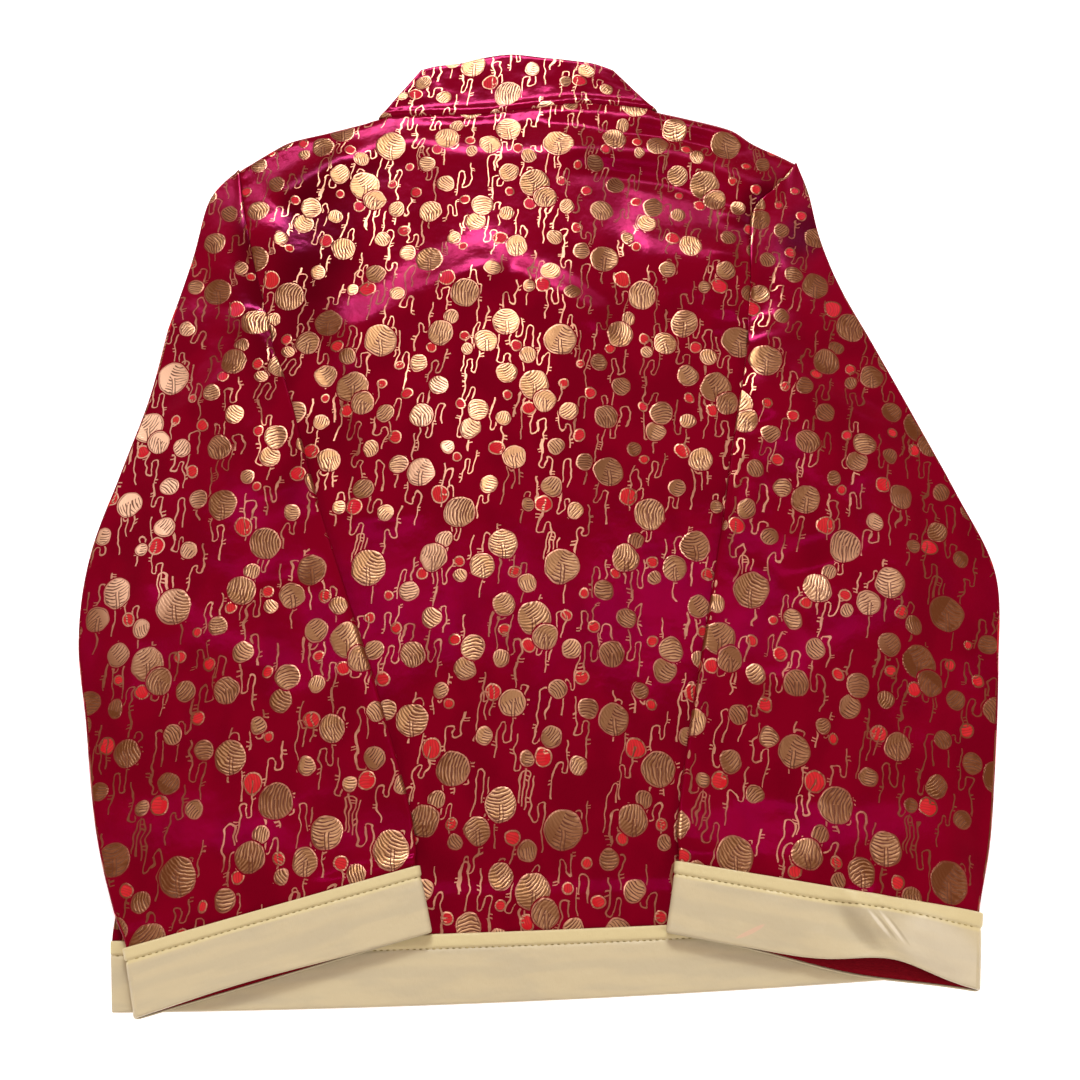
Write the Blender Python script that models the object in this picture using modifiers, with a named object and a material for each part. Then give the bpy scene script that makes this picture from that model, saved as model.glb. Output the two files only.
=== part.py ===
"""Child's tang jacket, laid flat on its front with the sleeves folded down over the back.

Every piece of cloth is a wall of even thickness. Its right side is worked out from short
tables of the jacket's own sizes, and Solidify gives it its thickness inwards. +X is the
wearer's right, +Y points to the collar and +Z is up. The origin is at the middle of the
bottom of the whole jacket. Plan sizes and heights in this file are in millimetres.
"""

import math
from collections import namedtuple

import bpy

MM = 0.001
PLAN_CENTRE = (0.2, 39.7)  # middle of the jacket's outline, in the tables' own plan

# Cloth and seams
CLOTH = 1.0  # wall of every piece
SEAM_GAP = 0.3  # between pieces that are sewn to each other
ARMHOLE_GAP = 1.0  # in plan, between a sleeve and the panels that it is sewn to
LAYER_GAP = 0.5  # between the fronts and the back, and inside a flat sleeve
BAND_STEP = CLOTH + SEAM_GAP  # how far a band lifts what it is sewn on
COLLAR_SEAM_GAP = 0.6  # in plan, between the collar's lower edge and the back
INSET = 0.8  # how far the fronts stay inside the back's outline

# Grid sizes: columns across a piece, rows along it
BACK_COLUMNS = 26
FRONT_COLUMNS = [0.0, 0.25, 0.497, 0.62, 0.74, 0.84, 0.92, 1.0]  # shares of a front's width
NECK_COLUMN = 2  # the front's column that starts at the neck point
SEAM_COLUMNS = 8  # rows of the body, and columns of a sleeve, along the armhole seam
SLEEVE_RINGS = 22
CUFF_RINGS = 4
FOLD_STEPS = 3  # sides of each rounded fold
COLLAR_BACK_STATIONS = 18
COLLAR_HEIGHT_STEPS = 4
SHARP_ANGLE = 50.0  # faces that meet at more than this are shaded apart, in degrees

# Left and right ends of rows across the back, from the shoulder tips to the hem
BodyRow = namedtuple("BodyRow", "left_x left_y right_x right_y sag")
BODY_ROWS = [
    BodyRow(-164.5, 216.0, 140.5, 221.0, 0.0),  # shoulder tips
    BodyRow(-162.0, 203.0, 129.0, 205.5, 0.0),
    BodyRow(-159.0, 189.0, 115.5, 190.5, 0.0),
    BodyRow(-156.0, 175.0, 112.0, 175.0, 0.0),
    BodyRow(-152.5, 161.5, 111.0, 160.0, 0.0),
    BodyRow(-149.0, 148.0, 110.5, 146.0, 0.0),
    BodyRow(-145.0, 134.5, 109.0, 132.0, 0.0),
    BodyRow(-141.0, 121.5, 107.5, 119.0, 0.0),
    BodyRow(-138.0, 110.0, 106.5, 106.0, 0.0),  # where the sleeves fold over the back
    BodyRow(-142.0, 95.0, 112.0, 92.0, 0.0),
    BodyRow(-152.0, 80.0, 130.0, 77.0, 0.0),
    BodyRow(-166.0, 66.0, 151.0, 62.0, 0.0),  # underarms
    BodyRow(-169.0, 36.0, 155.0, 34.0, 0.0),
    BodyRow(-172.0, 0.0, 158.0, 0.0, 0.0),
    BodyRow(-175.0, -40.0, 160.5, -38.0, -0.4),
    BodyRow(-177.5, -80.0, 162.5, -75.0, -0.8),
    BodyRow(-180.0, -120.0, 164.0, -112.0, -1.2),
    BodyRow(-181.8, -155.0, 165.5, -144.0, -1.7),
    BodyRow(-182.3, -173.0, 166.3, -161.0, -2.0),
    BodyRow(-182.5, -184.5, 167.0, -172.0, -2.2),  # top of the hem band
    BodyRow(-180.5, -199.0, 168.0, -185.5, -2.5),
    BodyRow(-178.5, -213.0, 169.0, -198.5, -2.8),  # hem
]
FOLD_ROW = SEAM_COLUMNS
UNDERARM_ROW = 11
HEM_TOP_ROW = 19
HEM_ROW = 21

# Top edge of the back: the two shoulders and the neck seam between them
TopPoint = namedtuple("TopPoint", "x y")
BACK_TOP = [
    TopPoint(-164.5, 216.0),
    TopPoint(-148.0, 229.0),
    TopPoint(-137.0, 236.0),
    TopPoint(-117.0, 242.0),
    TopPoint(-98.0, 248.0),
    TopPoint(-88.0, 251.0),
    TopPoint(-57.0, 252.0),
    TopPoint(-34.0, 252.5),
    TopPoint(-9.0, 256.0),
    TopPoint(22.0, 260.0),
    TopPoint(40.0, 259.0),
    TopPoint(63.0, 255.5),
    TopPoint(84.0, 250.0),
    TopPoint(105.0, 243.0),
    TopPoint(118.0, 234.0),
    TopPoint(131.0, 226.5),
    TopPoint(140.5, 221.0),
]
NECK_LEFT = (-89.0, 251.5)
NECK_RIGHT = (64.5, 255.5)
FRONT_NECK = (-12.5, 205.0)  # lowest point of the front neckline
FRONT_HEM = (-5.0, -208.0)  # where the two fronts meet at the hem
NECK_CURVE = 0.8  # power of the front neckline's curve, 1.0 for a plain sine

# Top edge of the collar's back half, from its left fold to its right fold
COLLAR_TOP = [
    TopPoint(-66.0, 283.0),
    TopPoint(-58.0, 285.5),
    TopPoint(-44.0, 288.0),
    TopPoint(-33.0, 292.5),
    TopPoint(-17.0, 295.5),
    TopPoint(1.0, 293.0),
    TopPoint(17.0, 290.5),
    TopPoint(30.0, 288.0),
    TopPoint(40.0, 283.0),
]
COLLAR_FRONT_HEIGHT = 38.0
COLLAR_CORNER = 14.0  # height of the collar's rounded front corners
COLLAR_CORNER_START = 0.6  # share of a front half where its corner starts


def sleeve_head(side):
    """Ends of a sleeve's first ring, just outside the body's armhole edge."""
    tip, fold = BODY_ROWS[0], BODY_ROWS[FOLD_ROW]
    if side == "left":
        return tip.left_x - ARMHOLE_GAP, tip.left_y, fold.left_x - ARMHOLE_GAP, fold.left_y
    return tip.right_x + ARMHOLE_GAP, tip.right_y, fold.right_x + ARMHOLE_GAP, fold.right_y


# Ends of rings along each sleeve, from the armhole to the cuff's edge
Ring = namedtuple("Ring", "outer_x outer_y inner_x inner_y")
SLEEVE_RINGS_LEFT = [
    Ring(*sleeve_head("left")),
    Ring(-178.5, 197.0, -135.5, 101.0),
    Ring(-184.0, 161.0, -130.0, 88.0),
    Ring(-191.0, 120.0, -123.0, 66.0),
    Ring(-197.0, 78.0, -114.0, 36.0),
    Ring(-207.0, 34.0, -103.0, 3.0),
    Ring(-216.0, -8.0, -90.0, -34.0),
    Ring(-216.0, -50.0, -76.5, -71.0),
    Ring(-207.0, -90.0, -66.0, -102.0),
    Ring(-197.0, -132.0, -57.5, -129.0),
    Ring(-182.5, -172.0, -54.0, -146.0),
    Ring(-174.5, -187.5, -53.5, -154.0),  # top of the cuff
    Ring(-166.5, -215.5, -46.8, -181.5),  # edge of the cuff
]
SLEEVE_RINGS_RIGHT = [
    Ring(*sleeve_head("right")),
    Ring(146.0, 200.0, 104.5, 95.0),
    Ring(149.5, 172.0, 101.5, 80.0),
    Ring(157.0, 143.0, 98.0, 62.0),
    Ring(172.0, 106.0, 94.0, 41.0),
    Ring(187.0, 68.0, 90.0, 16.0),
    Ring(204.0, 24.0, 84.0, -14.0),
    Ring(217.5, -18.0, 77.0, -49.0),
    Ring(213.0, -62.0, 70.0, -82.0),
    Ring(206.0, -104.0, 64.0, -114.0),
    Ring(197.5, -146.0, 60.0, -138.0),
    Ring(188.0, -173.0, 60.0, -152.0),  # top of the cuff
    Ring(182.0, -204.5, 54.5, -181.5),  # edge of the cuff
]
CUFF_TOP_ROW = 11
CUFF_ROW = 12
CUFF_HEM = 0.05  # share of the cuff's height that the sleeve stops short of its edge
SLEEVE_OVER_CUFF_SEAM = (CUFF_TOP_ROW - 0.9, CUFF_TOP_ROW - 0.15)  # rows where it steps in under the cuff
CUFF_FLATNESS = 0.7  # share of the sleeve's puff that the cuff presses flat
SEAM_BOW_ROWS = 3.0  # rows below the armhole in which its curve fades out of the sleeve

# The left cuff's mouth lies shut. The right one's upper layer is pushed up and gapes
Mouth = namedtuple("Mouth", "place width back lift")
MOUTH_UPPER = {"left": None, "right": Mouth(0.28, 0.17, 7.0, 2.6)}
MOUTH_LOWER = {"left": None, "right": Mouth(0.40, 0.25, -3.0, 0.0)}

# Largest folds: a soft ridge along each line, over the layer below
Fold = namedtuple("Fold", "piece x0 y0 x1 y1 width height")
FOLDS = [
    Fold("back", 8.0, 253.0, 58.0, 250.0, 9.0, 2.0),  # roll under the collar seam
    Fold("back", 58.0, 250.0, 104.0, 238.0, 9.0, 2.0),
    Fold("back", 20.0, 228.0, 74.0, 225.0, 12.0, 2.6),  # second roll, to the right shoulder
    Fold("back", 74.0, 225.0, 116.0, 205.0, 12.0, 2.6),
    Fold("back", -94.0, 112.0, -60.0, 134.0, 17.0, 2.8),  # swell over the left shoulder blade
    Fold("back", -60.0, 134.0, -30.0, 148.0, 17.0, 2.8),
    Fold("back", -12.0, 146.0, 28.0, 124.0, 11.0, 1.9),
    Fold("back", 58.0, 157.0, 92.0, 151.0, 24.0, 3.9),  # and over the right one
    Fold("back", -52.0, 236.0, 6.0, 238.0, 24.0, 1.3),  # swell under the collar
    Fold("back", -136.0, 200.0, -110.0, 220.0, 11.0, 2.2),  # left shoulder
    Fold("back", -148.0, 176.0, -136.0, 158.0, 19.0, 2.6),
    Fold("back", -60.0, 60.0, -36.0, -60.0, 26.0, 1.6),  # slack down the middle of the back
    Fold("back", 40.0, 30.0, 28.0, -110.0, 28.0, 1.4),
    Fold("sleeve_left", -188.0, 110.0, -140.0, 30.0, 18.0, 1.4),
    Fold("sleeve_left", -186.0, -30.0, -110.0, -70.0, 20.0, 1.4),
    Fold("sleeve_right", 130.0, 150.0, 128.0, 60.0, 16.0, 1.4),
    Fold("sleeve_right", 190.0, -20.0, 112.0, -70.0, 20.0, 1.4),
]
SLEEVE_PUFF = 1.6  # air between a sleeve's two layers, at its middle

# Where the sleeves ride up on to the back
BRIDGE_FLAT = 10.0  # a sleeve stays level this far past the body's side
BRIDGE_END = 32.0  # and is down on the surface this far past it
BRIDGE_UP_SEAM = 20.0  # it is down this far up the armhole seam

# Plan heights between which the layers step up over the hem bands below them
HEM_SLOPE = 0.034  # how far the hem bands' tops rise for each millimetre to the right
FRONT_BAND_START = -156.0
FRONT_BAND_END = -168.0
SLEEVE_OVER_FRONT_BAND = (-120.0, -150.0)
SLEEVE_OVER_BACK_BAND = (-128.0, -160.0)
SLEEVE_BAND_SLOPE = 0.03
BAND_ROW = 0.45  # place of the hem bands' second row, next to their sewn edge
PANEL_SHORT = 0.08  # rows by which the panels stop short of the hem's edge

# Frog closures under the fronts, and the rise that the fronts make over them
FROG_ROWS = [165.0, 95.0, 25.0, -45.0, -115.0]
FROG_LENGTH = 42.0
FROG_WIDTH = 5.0
FROG_KNOT_WIDTH = 9.0
FROG_HEIGHT = 2.2
FROG_STATIONS = 10
FROG_KNOT_REACH = 0.16  # width of the knot's bulge, as a share of half the frog's length
FROG_END_START = 0.8  # share of half the length where the ends begin to round off
FROG_END_REACH = 0.22
FROG_BAR_HEIGHT = 0.75  # height of the bars, as a share of the knot's
FROG_END_HEIGHT = 0.6  # height of the very ends, as a share of the bars'
FROG_SECTION = [  # side and up, as shares of half the width and of the height
    (-1.0, 0.25),
    (-0.8, 0.0),
    (0.8, 0.0),
    (1.0, 0.25),
    (0.9, 0.7),
    (0.4, 1.0),
    (-0.4, 1.0),
    (-0.9, 0.7),
]
FRONT_RISE = FROG_HEIGHT + SEAM_GAP
RISE_FLAT = 26.0  # half width of the level part of the rise
RISE_END = 62.0
RISE_TOP = (176.0, 202.0)  # the fronts' rise fades out between these places at the neck
BACK_RISE_TOP = (222.0, 250.0)  # and the back's rise between these, below the collar
RISE_BOTTOM = (-134.0, -154.0)  # and between these above the hem band

MATERIALS = {  # colour, roughness, metallic
    "brocade": ((0.30, 0.004, 0.050, 1.0), 0.35, 0.0),
    "cream_satin": ((0.72, 0.60, 0.38, 1.0), 0.55, 0.0),
    "frog_cord": ((0.22, 0.003, 0.030, 1.0), 0.45, 0.0),
}


def smooth(value):
    value = min(max(value, 0.0), 1.0)
    return value * value * (3.0 - 2.0 * value)


def between(value, start, end):
    """0 at start and 1 at end, with soft ends."""
    return smooth((value - start) / (end - start))


def mix(a, b, share):
    return a + (b - a) * share


def along_rows(rows, place):
    """The row at a place counted in rows, on a smooth curve through the table."""
    first = min(int(place), len(rows) - 2)
    share = place - first
    before = rows[max(first - 1, 0)]
    after = rows[min(first + 2, len(rows) - 1)]
    values = []
    for p0, p1, p2, p3 in zip(before, rows[first], rows[first + 1], after):
        turn = p2 - p0 + (2 * p0 - 5 * p1 + 4 * p2 - p3 + (3 * p1 - p0 - 3 * p2 + p3) * share) * share
        values.append(p1 + 0.5 * share * turn)
    return type(rows[0])(*values)


def edge_at(points, x):
    """Height in plan of an edge at x, straight between the points of its table."""
    for first, second in zip(points, points[1:]):
        if x <= second.x:
            break
    share = (x - first.x) / (second.x - first.x)
    return mix(first.y, second.y, min(max(share, 0.0), 1.0))


def fold_height(piece, x, y):
    """Height of the folds of one piece: the highest of its soft ridges."""
    height = 0.0
    for fold in FOLDS:
        if fold.piece != piece:
            continue
        run = (fold.x1 - fold.x0, fold.y1 - fold.y0)
        share = ((x - fold.x0) * run[0] + (y - fold.y0) * run[1]) / (run[0] ** 2 + run[1] ** 2)
        share = min(max(share, 0.0), 1.0)
        away = math.hypot(x - fold.x0 - run[0] * share, y - fold.y0 - run[1] * share)
        height = max(height, fold.height * math.exp(-((away / fold.width) ** 2)))
    return height


# --- Heights of the layers, from the surface up ---


def centre_front(y):
    return mix(FRONT_HEM[0], FRONT_NECK[0], (y - FRONT_HEM[1]) / (FRONT_NECK[1] - FRONT_HEM[1]))


def front_low(x, y, top=RISE_TOP):
    """Right side of the fronts: on the surface, but for the frogs and the hem band."""
    rise = 1.0 - between(abs(x - centre_front(y)), RISE_FLAT, RISE_END)
    rise *= 1.0 - between(y, *top)
    rise *= 1.0 - between(y, *RISE_BOTTOM)
    band = between(y, FRONT_BAND_START, FRONT_BAND_END + HEM_SLOPE * x)
    return FRONT_RISE * rise + BAND_STEP * band


def back_top(x, y):
    """Right side of the back, over the fronts."""
    return front_low(x, y, BACK_RISE_TOP) + LAYER_GAP + 2 * CLOTH + fold_height("back", x, y)


def body_side(y, side):
    """Plan x of the body's side at a height, on its left or its right."""
    x_name, y_name = side + "_x", side + "_y"
    for first, second in zip(BODY_ROWS, BODY_ROWS[1:]):
        if y >= getattr(second, y_name):
            break
    share = (y - getattr(first, y_name)) / (getattr(second, y_name) - getattr(first, y_name))
    return mix(getattr(first, x_name), getattr(second, x_name), min(max(share, 0.0), 1.0))


def carried(y, side):
    """1 where the body carries a sleeve beside its seam, 0 higher up the seam."""
    fold_y = getattr(BODY_ROWS[FOLD_ROW], side + "_y")
    return 1.0 - between(y, fold_y, fold_y + BRIDGE_UP_SEAM)


def support(x, y, side):
    """What a sleeve lies on: the body where it covers it, and the surface beyond."""
    past = body_side(y, side) - x if side == "left" else x - body_side(y, side)
    share = carried(y, side) * (1.0 - between(past, BRIDGE_FLAT, BRIDGE_END))
    hem_band = BAND_STEP * between(y - SLEEVE_BAND_SLOPE * x, *SLEEVE_OVER_BACK_BAND)
    front_band = BAND_STEP * between(y, *SLEEVE_OVER_FRONT_BAND)
    level = max(front_low(x, y), front_band)
    level += LAYER_GAP + 2 * CLOTH + fold_height("back", x, y) + SEAM_GAP + hem_band
    return share * level


# --- Turning rings of points into pieces of cloth ---


def make_material(name):
    colour, roughness, metallic = MATERIALS[name]
    material = bpy.data.materials.new(name)
    material.use_nodes = True
    material.diffuse_color = colour
    shader = material.node_tree.nodes["Principled BSDF"]
    shader.inputs["Base Color"].default_value = colour
    shader.inputs["Roughness"].default_value = roughness
    shader.inputs["Metallic"].default_value = metallic
    return material


def make_piece(name, rings, material, around=False, turned=False, capped=False):
    """A surface through rings of points, each joined to the next with four-sided faces."""
    count = len(rings[0])
    points = []
    for ring in rings:
        for x, y, z in ring:
            points.append(((x - PLAN_CENTRE[0]) * MM, (y - PLAN_CENTRE[1]) * MM, z * MM))
    faces = []
    for row in range(len(rings) - 1):
        for column in range(count if around else count - 1):
            a = row * count + column
            b = row * count + (column + 1) % count
            faces.append((a, a + count, b + count, b) if turned else (a, b, b + count, a + count))
    if capped:
        first = tuple(range(count))
        last = tuple(range(len(points) - count, len(points)))
        faces.append(first if turned else first[::-1])
        faces.append(last[::-1] if turned else last)
    mesh = bpy.data.meshes.new(name)
    mesh.from_pydata(points, [], faces)
    mesh.shade_smooth()
    mesh.set_sharp_from_angle(angle=math.radians(SHARP_ANGLE))
    piece = bpy.data.objects.new(name, mesh)
    mesh.materials.append(material)
    bpy.data.collections["tang_jacket"].objects.link(piece)
    return piece


def make_cloth(name, rings, material, around=False, turned=False):
    """A piece whose right side goes through the rings, with its wall inside it."""
    piece = make_piece(name, rings, material, around, turned)
    wall = piece.modifiers.new("wall", "SOLIDIFY")
    wall.thickness = CLOTH * MM
    wall.offset = -1.0
    return piece


# --- Body: back, fronts and their hem bands ---


def body_row(place, inset=0.0):
    """One row across the body: its two ends and its sag, drawn in by the inset."""
    row = along_rows(BODY_ROWS, place)
    return row._replace(left_x=row.left_x + inset, right_x=row.right_x - inset)


def back_point(row, place, share):
    """Plan point on a row across the back, a share of the way from left to right."""
    x = mix(row.left_x, row.right_x, share)
    y = mix(row.left_y, row.right_y, share) + row.sag * 4 * share * (1 - share)
    tips = BODY_ROWS[0]
    crown = edge_at(BACK_TOP, mix(tips.left_x, tips.right_x, share)) - mix(tips.left_y, tips.right_y, share)
    return x, y + crown * max(0.0, 1.0 - place / UNDERARM_ROW)


def back_rings(places, out=0.0):
    rings = []
    for place in places:
        row = body_row(place)
        ring = []
        for column in range(BACK_COLUMNS + 1):
            x, y = back_point(row, place, column / BACK_COLUMNS)
            ring.append((x, y, back_top(x, y) + out))
        rings.append(ring)
    return rings[::-1]


def front_top_edge(x):
    """Front's top edge: the shoulder down to the neck, then the neckline's curve."""
    neck = NECK_LEFT if x < FRONT_NECK[0] else NECK_RIGHT
    inside = (x - neck[0]) / (FRONT_NECK[0] - neck[0])
    if inside <= 0.0:
        return edge_at(BACK_TOP, x)
    return mix(neck[1], FRONT_NECK[1], math.sin(math.pi / 2 * min(inside, 1.0)) ** NECK_CURVE)


def front_rings(side, places, out=0.0):
    """Rows across one front, from its side to the centre front, as seen from above."""
    tips = BODY_ROWS[0]
    rings = []
    for place in places:
        row = body_row(place, INSET)
        ring = []
        for share in FRONT_COLUMNS:
            side_x, side_y = (row.left_x, row.left_y) if side == "left" else (row.right_x, row.right_y)
            level = mix(row.left_y, row.right_y, 0.5) + row.sag
            y = mix(side_y, level, share) + INSET * between(place, HEM_TOP_ROW - 2, HEM_ROW)
            meet = centre_front(y) + (-0.5 if side == "left" else 0.5) * SEAM_GAP
            x = mix(side_x, meet, share)
            tip = (tips.left_x, tips.left_y) if side == "left" else (tips.right_x, tips.right_y)
            top = front_top_edge(mix(tip[0], FRONT_NECK[0], share)) - INSET
            fade = max(0.0, 1.0 - place / UNDERARM_ROW)
            y += (top - mix(tip[1], mix(tips.left_y, tips.right_y, 0.5), share)) * fade
            ring.append((x, y, front_low(x, y) - out))
        rings.append(ring)
    return rings


def body_places(end):
    """Rows of the grid: each row of the table, and one more between the long ones."""
    places = []
    for row in range(HEM_ROW + 1):
        places.append(float(row))
        if UNDERARM_ROW <= row < HEM_TOP_ROW - 2:
            places.append(row + 0.5)
    return [place for place in places if place <= end]


def build_body(brocade, cream):
    panel_end = HEM_ROW - PANEL_SHORT
    panels = body_places(panel_end) + [panel_end]
    bands = [HEM_TOP_ROW, HEM_TOP_ROW + BAND_ROW, HEM_TOP_ROW + 1.0, HEM_ROW]
    make_cloth("back", back_rings(panels), brocade)
    make_cloth("hem_back", back_rings(bands, BAND_STEP), cream)
    for side in ("left", "right"):
        turned = side == "right"
        make_cloth("front_" + side, front_rings(side, panels), brocade, turned=turned)
        make_cloth("hem_front_" + side, front_rings(side, bands, BAND_STEP), cream, turned=turned)


# --- Sleeves and cuffs ---


def seam_bow(side, share):
    """How far the armhole seam bows away from the straight line between its two ends."""
    row = along_rows(BODY_ROWS[: FOLD_ROW + 1], share * FOLD_ROW)
    top, low = BODY_ROWS[0], BODY_ROWS[FOLD_ROW]
    if side == "left":
        return row.left_x - mix(top.left_x, low.left_x, share), row.left_y - mix(top.left_y, low.left_y, share)
    return row.right_x - mix(top.right_x, low.right_x, share), row.right_y - mix(top.right_y, low.right_y, share)


def mouth_shift(mouth, share, depth):
    """How far a layer of a cuff's mouth is pushed up the sleeve, and how high it lifts."""
    if mouth is None:
        return 0.0, 0.0
    amount = math.exp(-(((share - mouth.place) / mouth.width) ** 2)) * depth
    return mouth.back * amount, mouth.lift * amount


def sleeve_ring(side, place, out=0.0):
    """One ring round a flat sleeve: its upper layer, a fold, its lower layer, a fold."""
    ring = along_rows(SLEEVE_RINGS_LEFT if side == "left" else SLEEVE_RINGS_RIGHT, place)
    outer = (ring.outer_x, ring.outer_y)
    inner = (ring.inner_x, ring.inner_y)
    width = math.hypot(inner[0] - outer[0], inner[1] - outer[1])
    across = ((inner[0] - outer[0]) / width, (inner[1] - outer[1]) / width)
    up_sleeve = (-across[1], across[0]) if side == "left" else (across[1], -across[0])
    near_seam = (1.0 - min(place / SEAM_BOW_ROWS, 1.0)) ** 2
    in_cuff = between(place, *SLEEVE_OVER_CUFF_SEAM)
    depth = max(0.0, place - CUFF_TOP_ROW)
    puff = SLEEVE_PUFF * between(place, 0.0, 2.0) * (1.0 - CUFF_FLATNESS * in_cuff)

    def point(share, upper):
        bow = seam_bow(side, share)
        push, lift = mouth_shift((MOUTH_UPPER if upper else MOUTH_LOWER)[side], share, depth)
        x = mix(outer[0], inner[0], share) + bow[0] * near_seam + up_sleeve[0] * push
        y = mix(outer[1], inner[1], share) + bow[1] * near_seam + up_sleeve[1] * push
        low = support(x, y, side) + BAND_STEP * in_cuff
        if not upper:
            return x, y, low - out
        air = puff * math.sin(math.pi * min(max(share, 0.0), 1.0)) + lift
        folds = fold_height("sleeve_" + side, x, y) * between(place, 0.0, 2.0) * (1.0 - in_cuff)
        folds += fold_height("back", x, y) * (1.0 - between(place, 0.0, 2.0)) * (1.0 - carried(y, side))
        return x, y, low + 2 * CLOTH + LAYER_GAP + air + folds + out

    radius = CLOTH + LAYER_GAP / 2
    inset = radius / width
    shares = [inset + (1 - 2 * inset) * column / SEAM_COLUMNS for column in range(SEAM_COLUMNS + 1)]
    upper = [point(share, True) for share in shares]
    lower = [point(share, False) for share in shares[::-1]]
    inner_fold = fold_points(upper[-1], lower[0], across)
    outer_fold = fold_points(lower[-1], upper[0], (-across[0], -across[1]))
    return upper + inner_fold + lower + outer_fold


def fold_points(start, end, away):
    """Points of a half round fold between two layers, without its two ends."""
    points = []
    radius = abs(start[2] - end[2]) / 2
    for step in range(1, FOLD_STEPS):
        angle = math.pi * step / FOLD_STEPS
        share = (1 - math.cos(angle)) / 2
        reach = radius * math.sin(angle)
        x = mix(start[0], end[0], share) + away[0] * reach
        y = mix(start[1], end[1], share) + away[1] * reach
        points.append((x, y, mix(start[2], end[2], share)))
    return points


def build_sleeves(brocade, cream):
    cuff_places = [CUFF_TOP_ROW + step / CUFF_RINGS for step in range(CUFF_RINGS + 1)]
    places = [CUFF_TOP_ROW * step / SLEEVE_RINGS for step in range(SLEEVE_RINGS + 1)]
    places += cuff_places[1:-1] + [CUFF_ROW - CUFF_HEM]
    for side in ("left", "right"):
        turned = side == "left"
        rings = [sleeve_ring(side, place) for place in places]
        make_cloth("sleeve_" + side, rings, brocade, around=True, turned=turned)
        rings = [sleeve_ring(side, place, BAND_STEP) for place in cuff_places]
        make_cloth("cuff_" + side, rings, cream, around=True, turned=turned)


# --- Collar ---


def collar_half_back(share):
    """Seam and top points of the collar's back half, from its left fold to its right."""
    seam_x = mix(NECK_LEFT[0], NECK_RIGHT[0], share)
    top_x = mix(COLLAR_TOP[0].x, COLLAR_TOP[-1].x, share)
    seam_y = edge_at(BACK_TOP, seam_x) + COLLAR_SEAM_GAP
    return (seam_x, seam_y), (top_x, edge_at(COLLAR_TOP, top_x))


def collar_half_front(side):
    """Stations of a front half, from its fold at the neck to the centre front."""
    seam_row = front_rings(side, [0.0])[0][NECK_COLUMN:]
    fold_top = COLLAR_TOP[0] if side == "left" else COLLAR_TOP[-1]
    stations = []
    for column, (seam_x, seam_y, _) in enumerate(seam_row[1:], NECK_COLUMN + 1):
        share = (FRONT_COLUMNS[column] - FRONT_COLUMNS[NECK_COLUMN]) / (1 - FRONT_COLUMNS[NECK_COLUMN])
        past = max(0.0, share - COLLAR_CORNER_START) / (1 - COLLAR_CORNER_START)
        drop = COLLAR_CORNER * (1 - math.sqrt(1 - past**2))
        top_y = mix(fold_top.y, FRONT_NECK[1] + COLLAR_FRONT_HEIGHT, math.sin(math.pi / 2 * share)) - drop
        top = (mix(fold_top.x, seam_row[-1][0], share), top_y)
        stations.append(((seam_x, seam_y + INSET + SEAM_GAP), top, CLOTH / 2))
    return stations


def build_collar(brocade):
    middle_low = CLOTH / 2
    middle_high = CLOTH * 1.5 + LAYER_GAP
    fold_radius = (middle_high - middle_low) / 2
    stations = collar_half_front("left")[::-1]
    stations += collar_fold(collar_half_back(0.0), -fold_radius, middle_low, middle_high)
    for step in range(1, COLLAR_BACK_STATIONS):
        stations.append((*collar_half_back(step / COLLAR_BACK_STATIONS), middle_high))
    stations += collar_fold(collar_half_back(1.0), fold_radius, middle_high, middle_low)
    stations += collar_half_front("right")
    rings = []
    for seam, top, middle in stations:
        ring = []
        for step in range(COLLAR_HEIGHT_STEPS + 1):
            share = step / COLLAR_HEIGHT_STEPS
            x, y = mix(seam[0], top[0], share), mix(seam[1], top[1], share)
            roll = fold_height("back", x, y) if middle > CLOTH + LAYER_GAP else 0.0
            ring.append((x, y, middle + roll))
        rings.append(ring)
    piece = make_cloth("collar", rings, brocade)
    piece.modifiers["wall"].offset = 0.0


def collar_fold(ends, reach, start, end):
    """Stations of the fold at a neck point, bulging sideways by the fold's radius."""
    seam, top = ends
    stations = []
    for step in range(FOLD_STEPS + 2):
        angle = math.pi * step / (FOLD_STEPS + 1)
        out = reach * math.sin(angle)
        middle = mix(start, end, (1 - math.cos(angle)) / 2)
        stations.append(((seam[0] + out, seam[1]), (top[0] + out, top[1]), middle))
    return stations


# --- Frog closures ---


def build_frog(name, row_y, cord):
    """A fastened frog: two straight cord bars and the knot between them, flat below."""
    rings = []
    for station in range(FROG_STATIONS + 1):
        share = 2 * station / FROG_STATIONS - 1
        knot = math.exp(-((share / FROG_KNOT_REACH) ** 2))
        past = max(0.0, abs(share) - FROG_END_START) / FROG_END_REACH
        end = math.sqrt(max(0.0, 1 - past**2))
        half = mix(FROG_WIDTH, FROG_KNOT_WIDTH, knot) / 2 * end
        height = mix(FROG_BAR_HEIGHT, 1.0, knot) * FROG_HEIGHT * mix(FROG_END_HEIGHT, 1.0, end)
        x = centre_front(row_y) + share * FROG_LENGTH / 2
        rings.append([(x, row_y + side * half, up * height) for side, up in FROG_SECTION])
    make_piece(name, rings, cord, around=True, capped=True)


def main():
    for thing in list(bpy.data.objects):
        bpy.data.objects.remove(thing)
    collection = bpy.data.collections.new("tang_jacket")
    bpy.context.scene.collection.children.link(collection)
    brocade = make_material("brocade")
    cream = make_material("cream_satin")
    cord = make_material("frog_cord")
    build_body(brocade, cream)
    build_sleeves(brocade, cream)
    build_collar(brocade)
    for number, row_y in enumerate(FROG_ROWS, 1):
        build_frog(f"frog_{number}", row_y, cord)


main()
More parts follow.
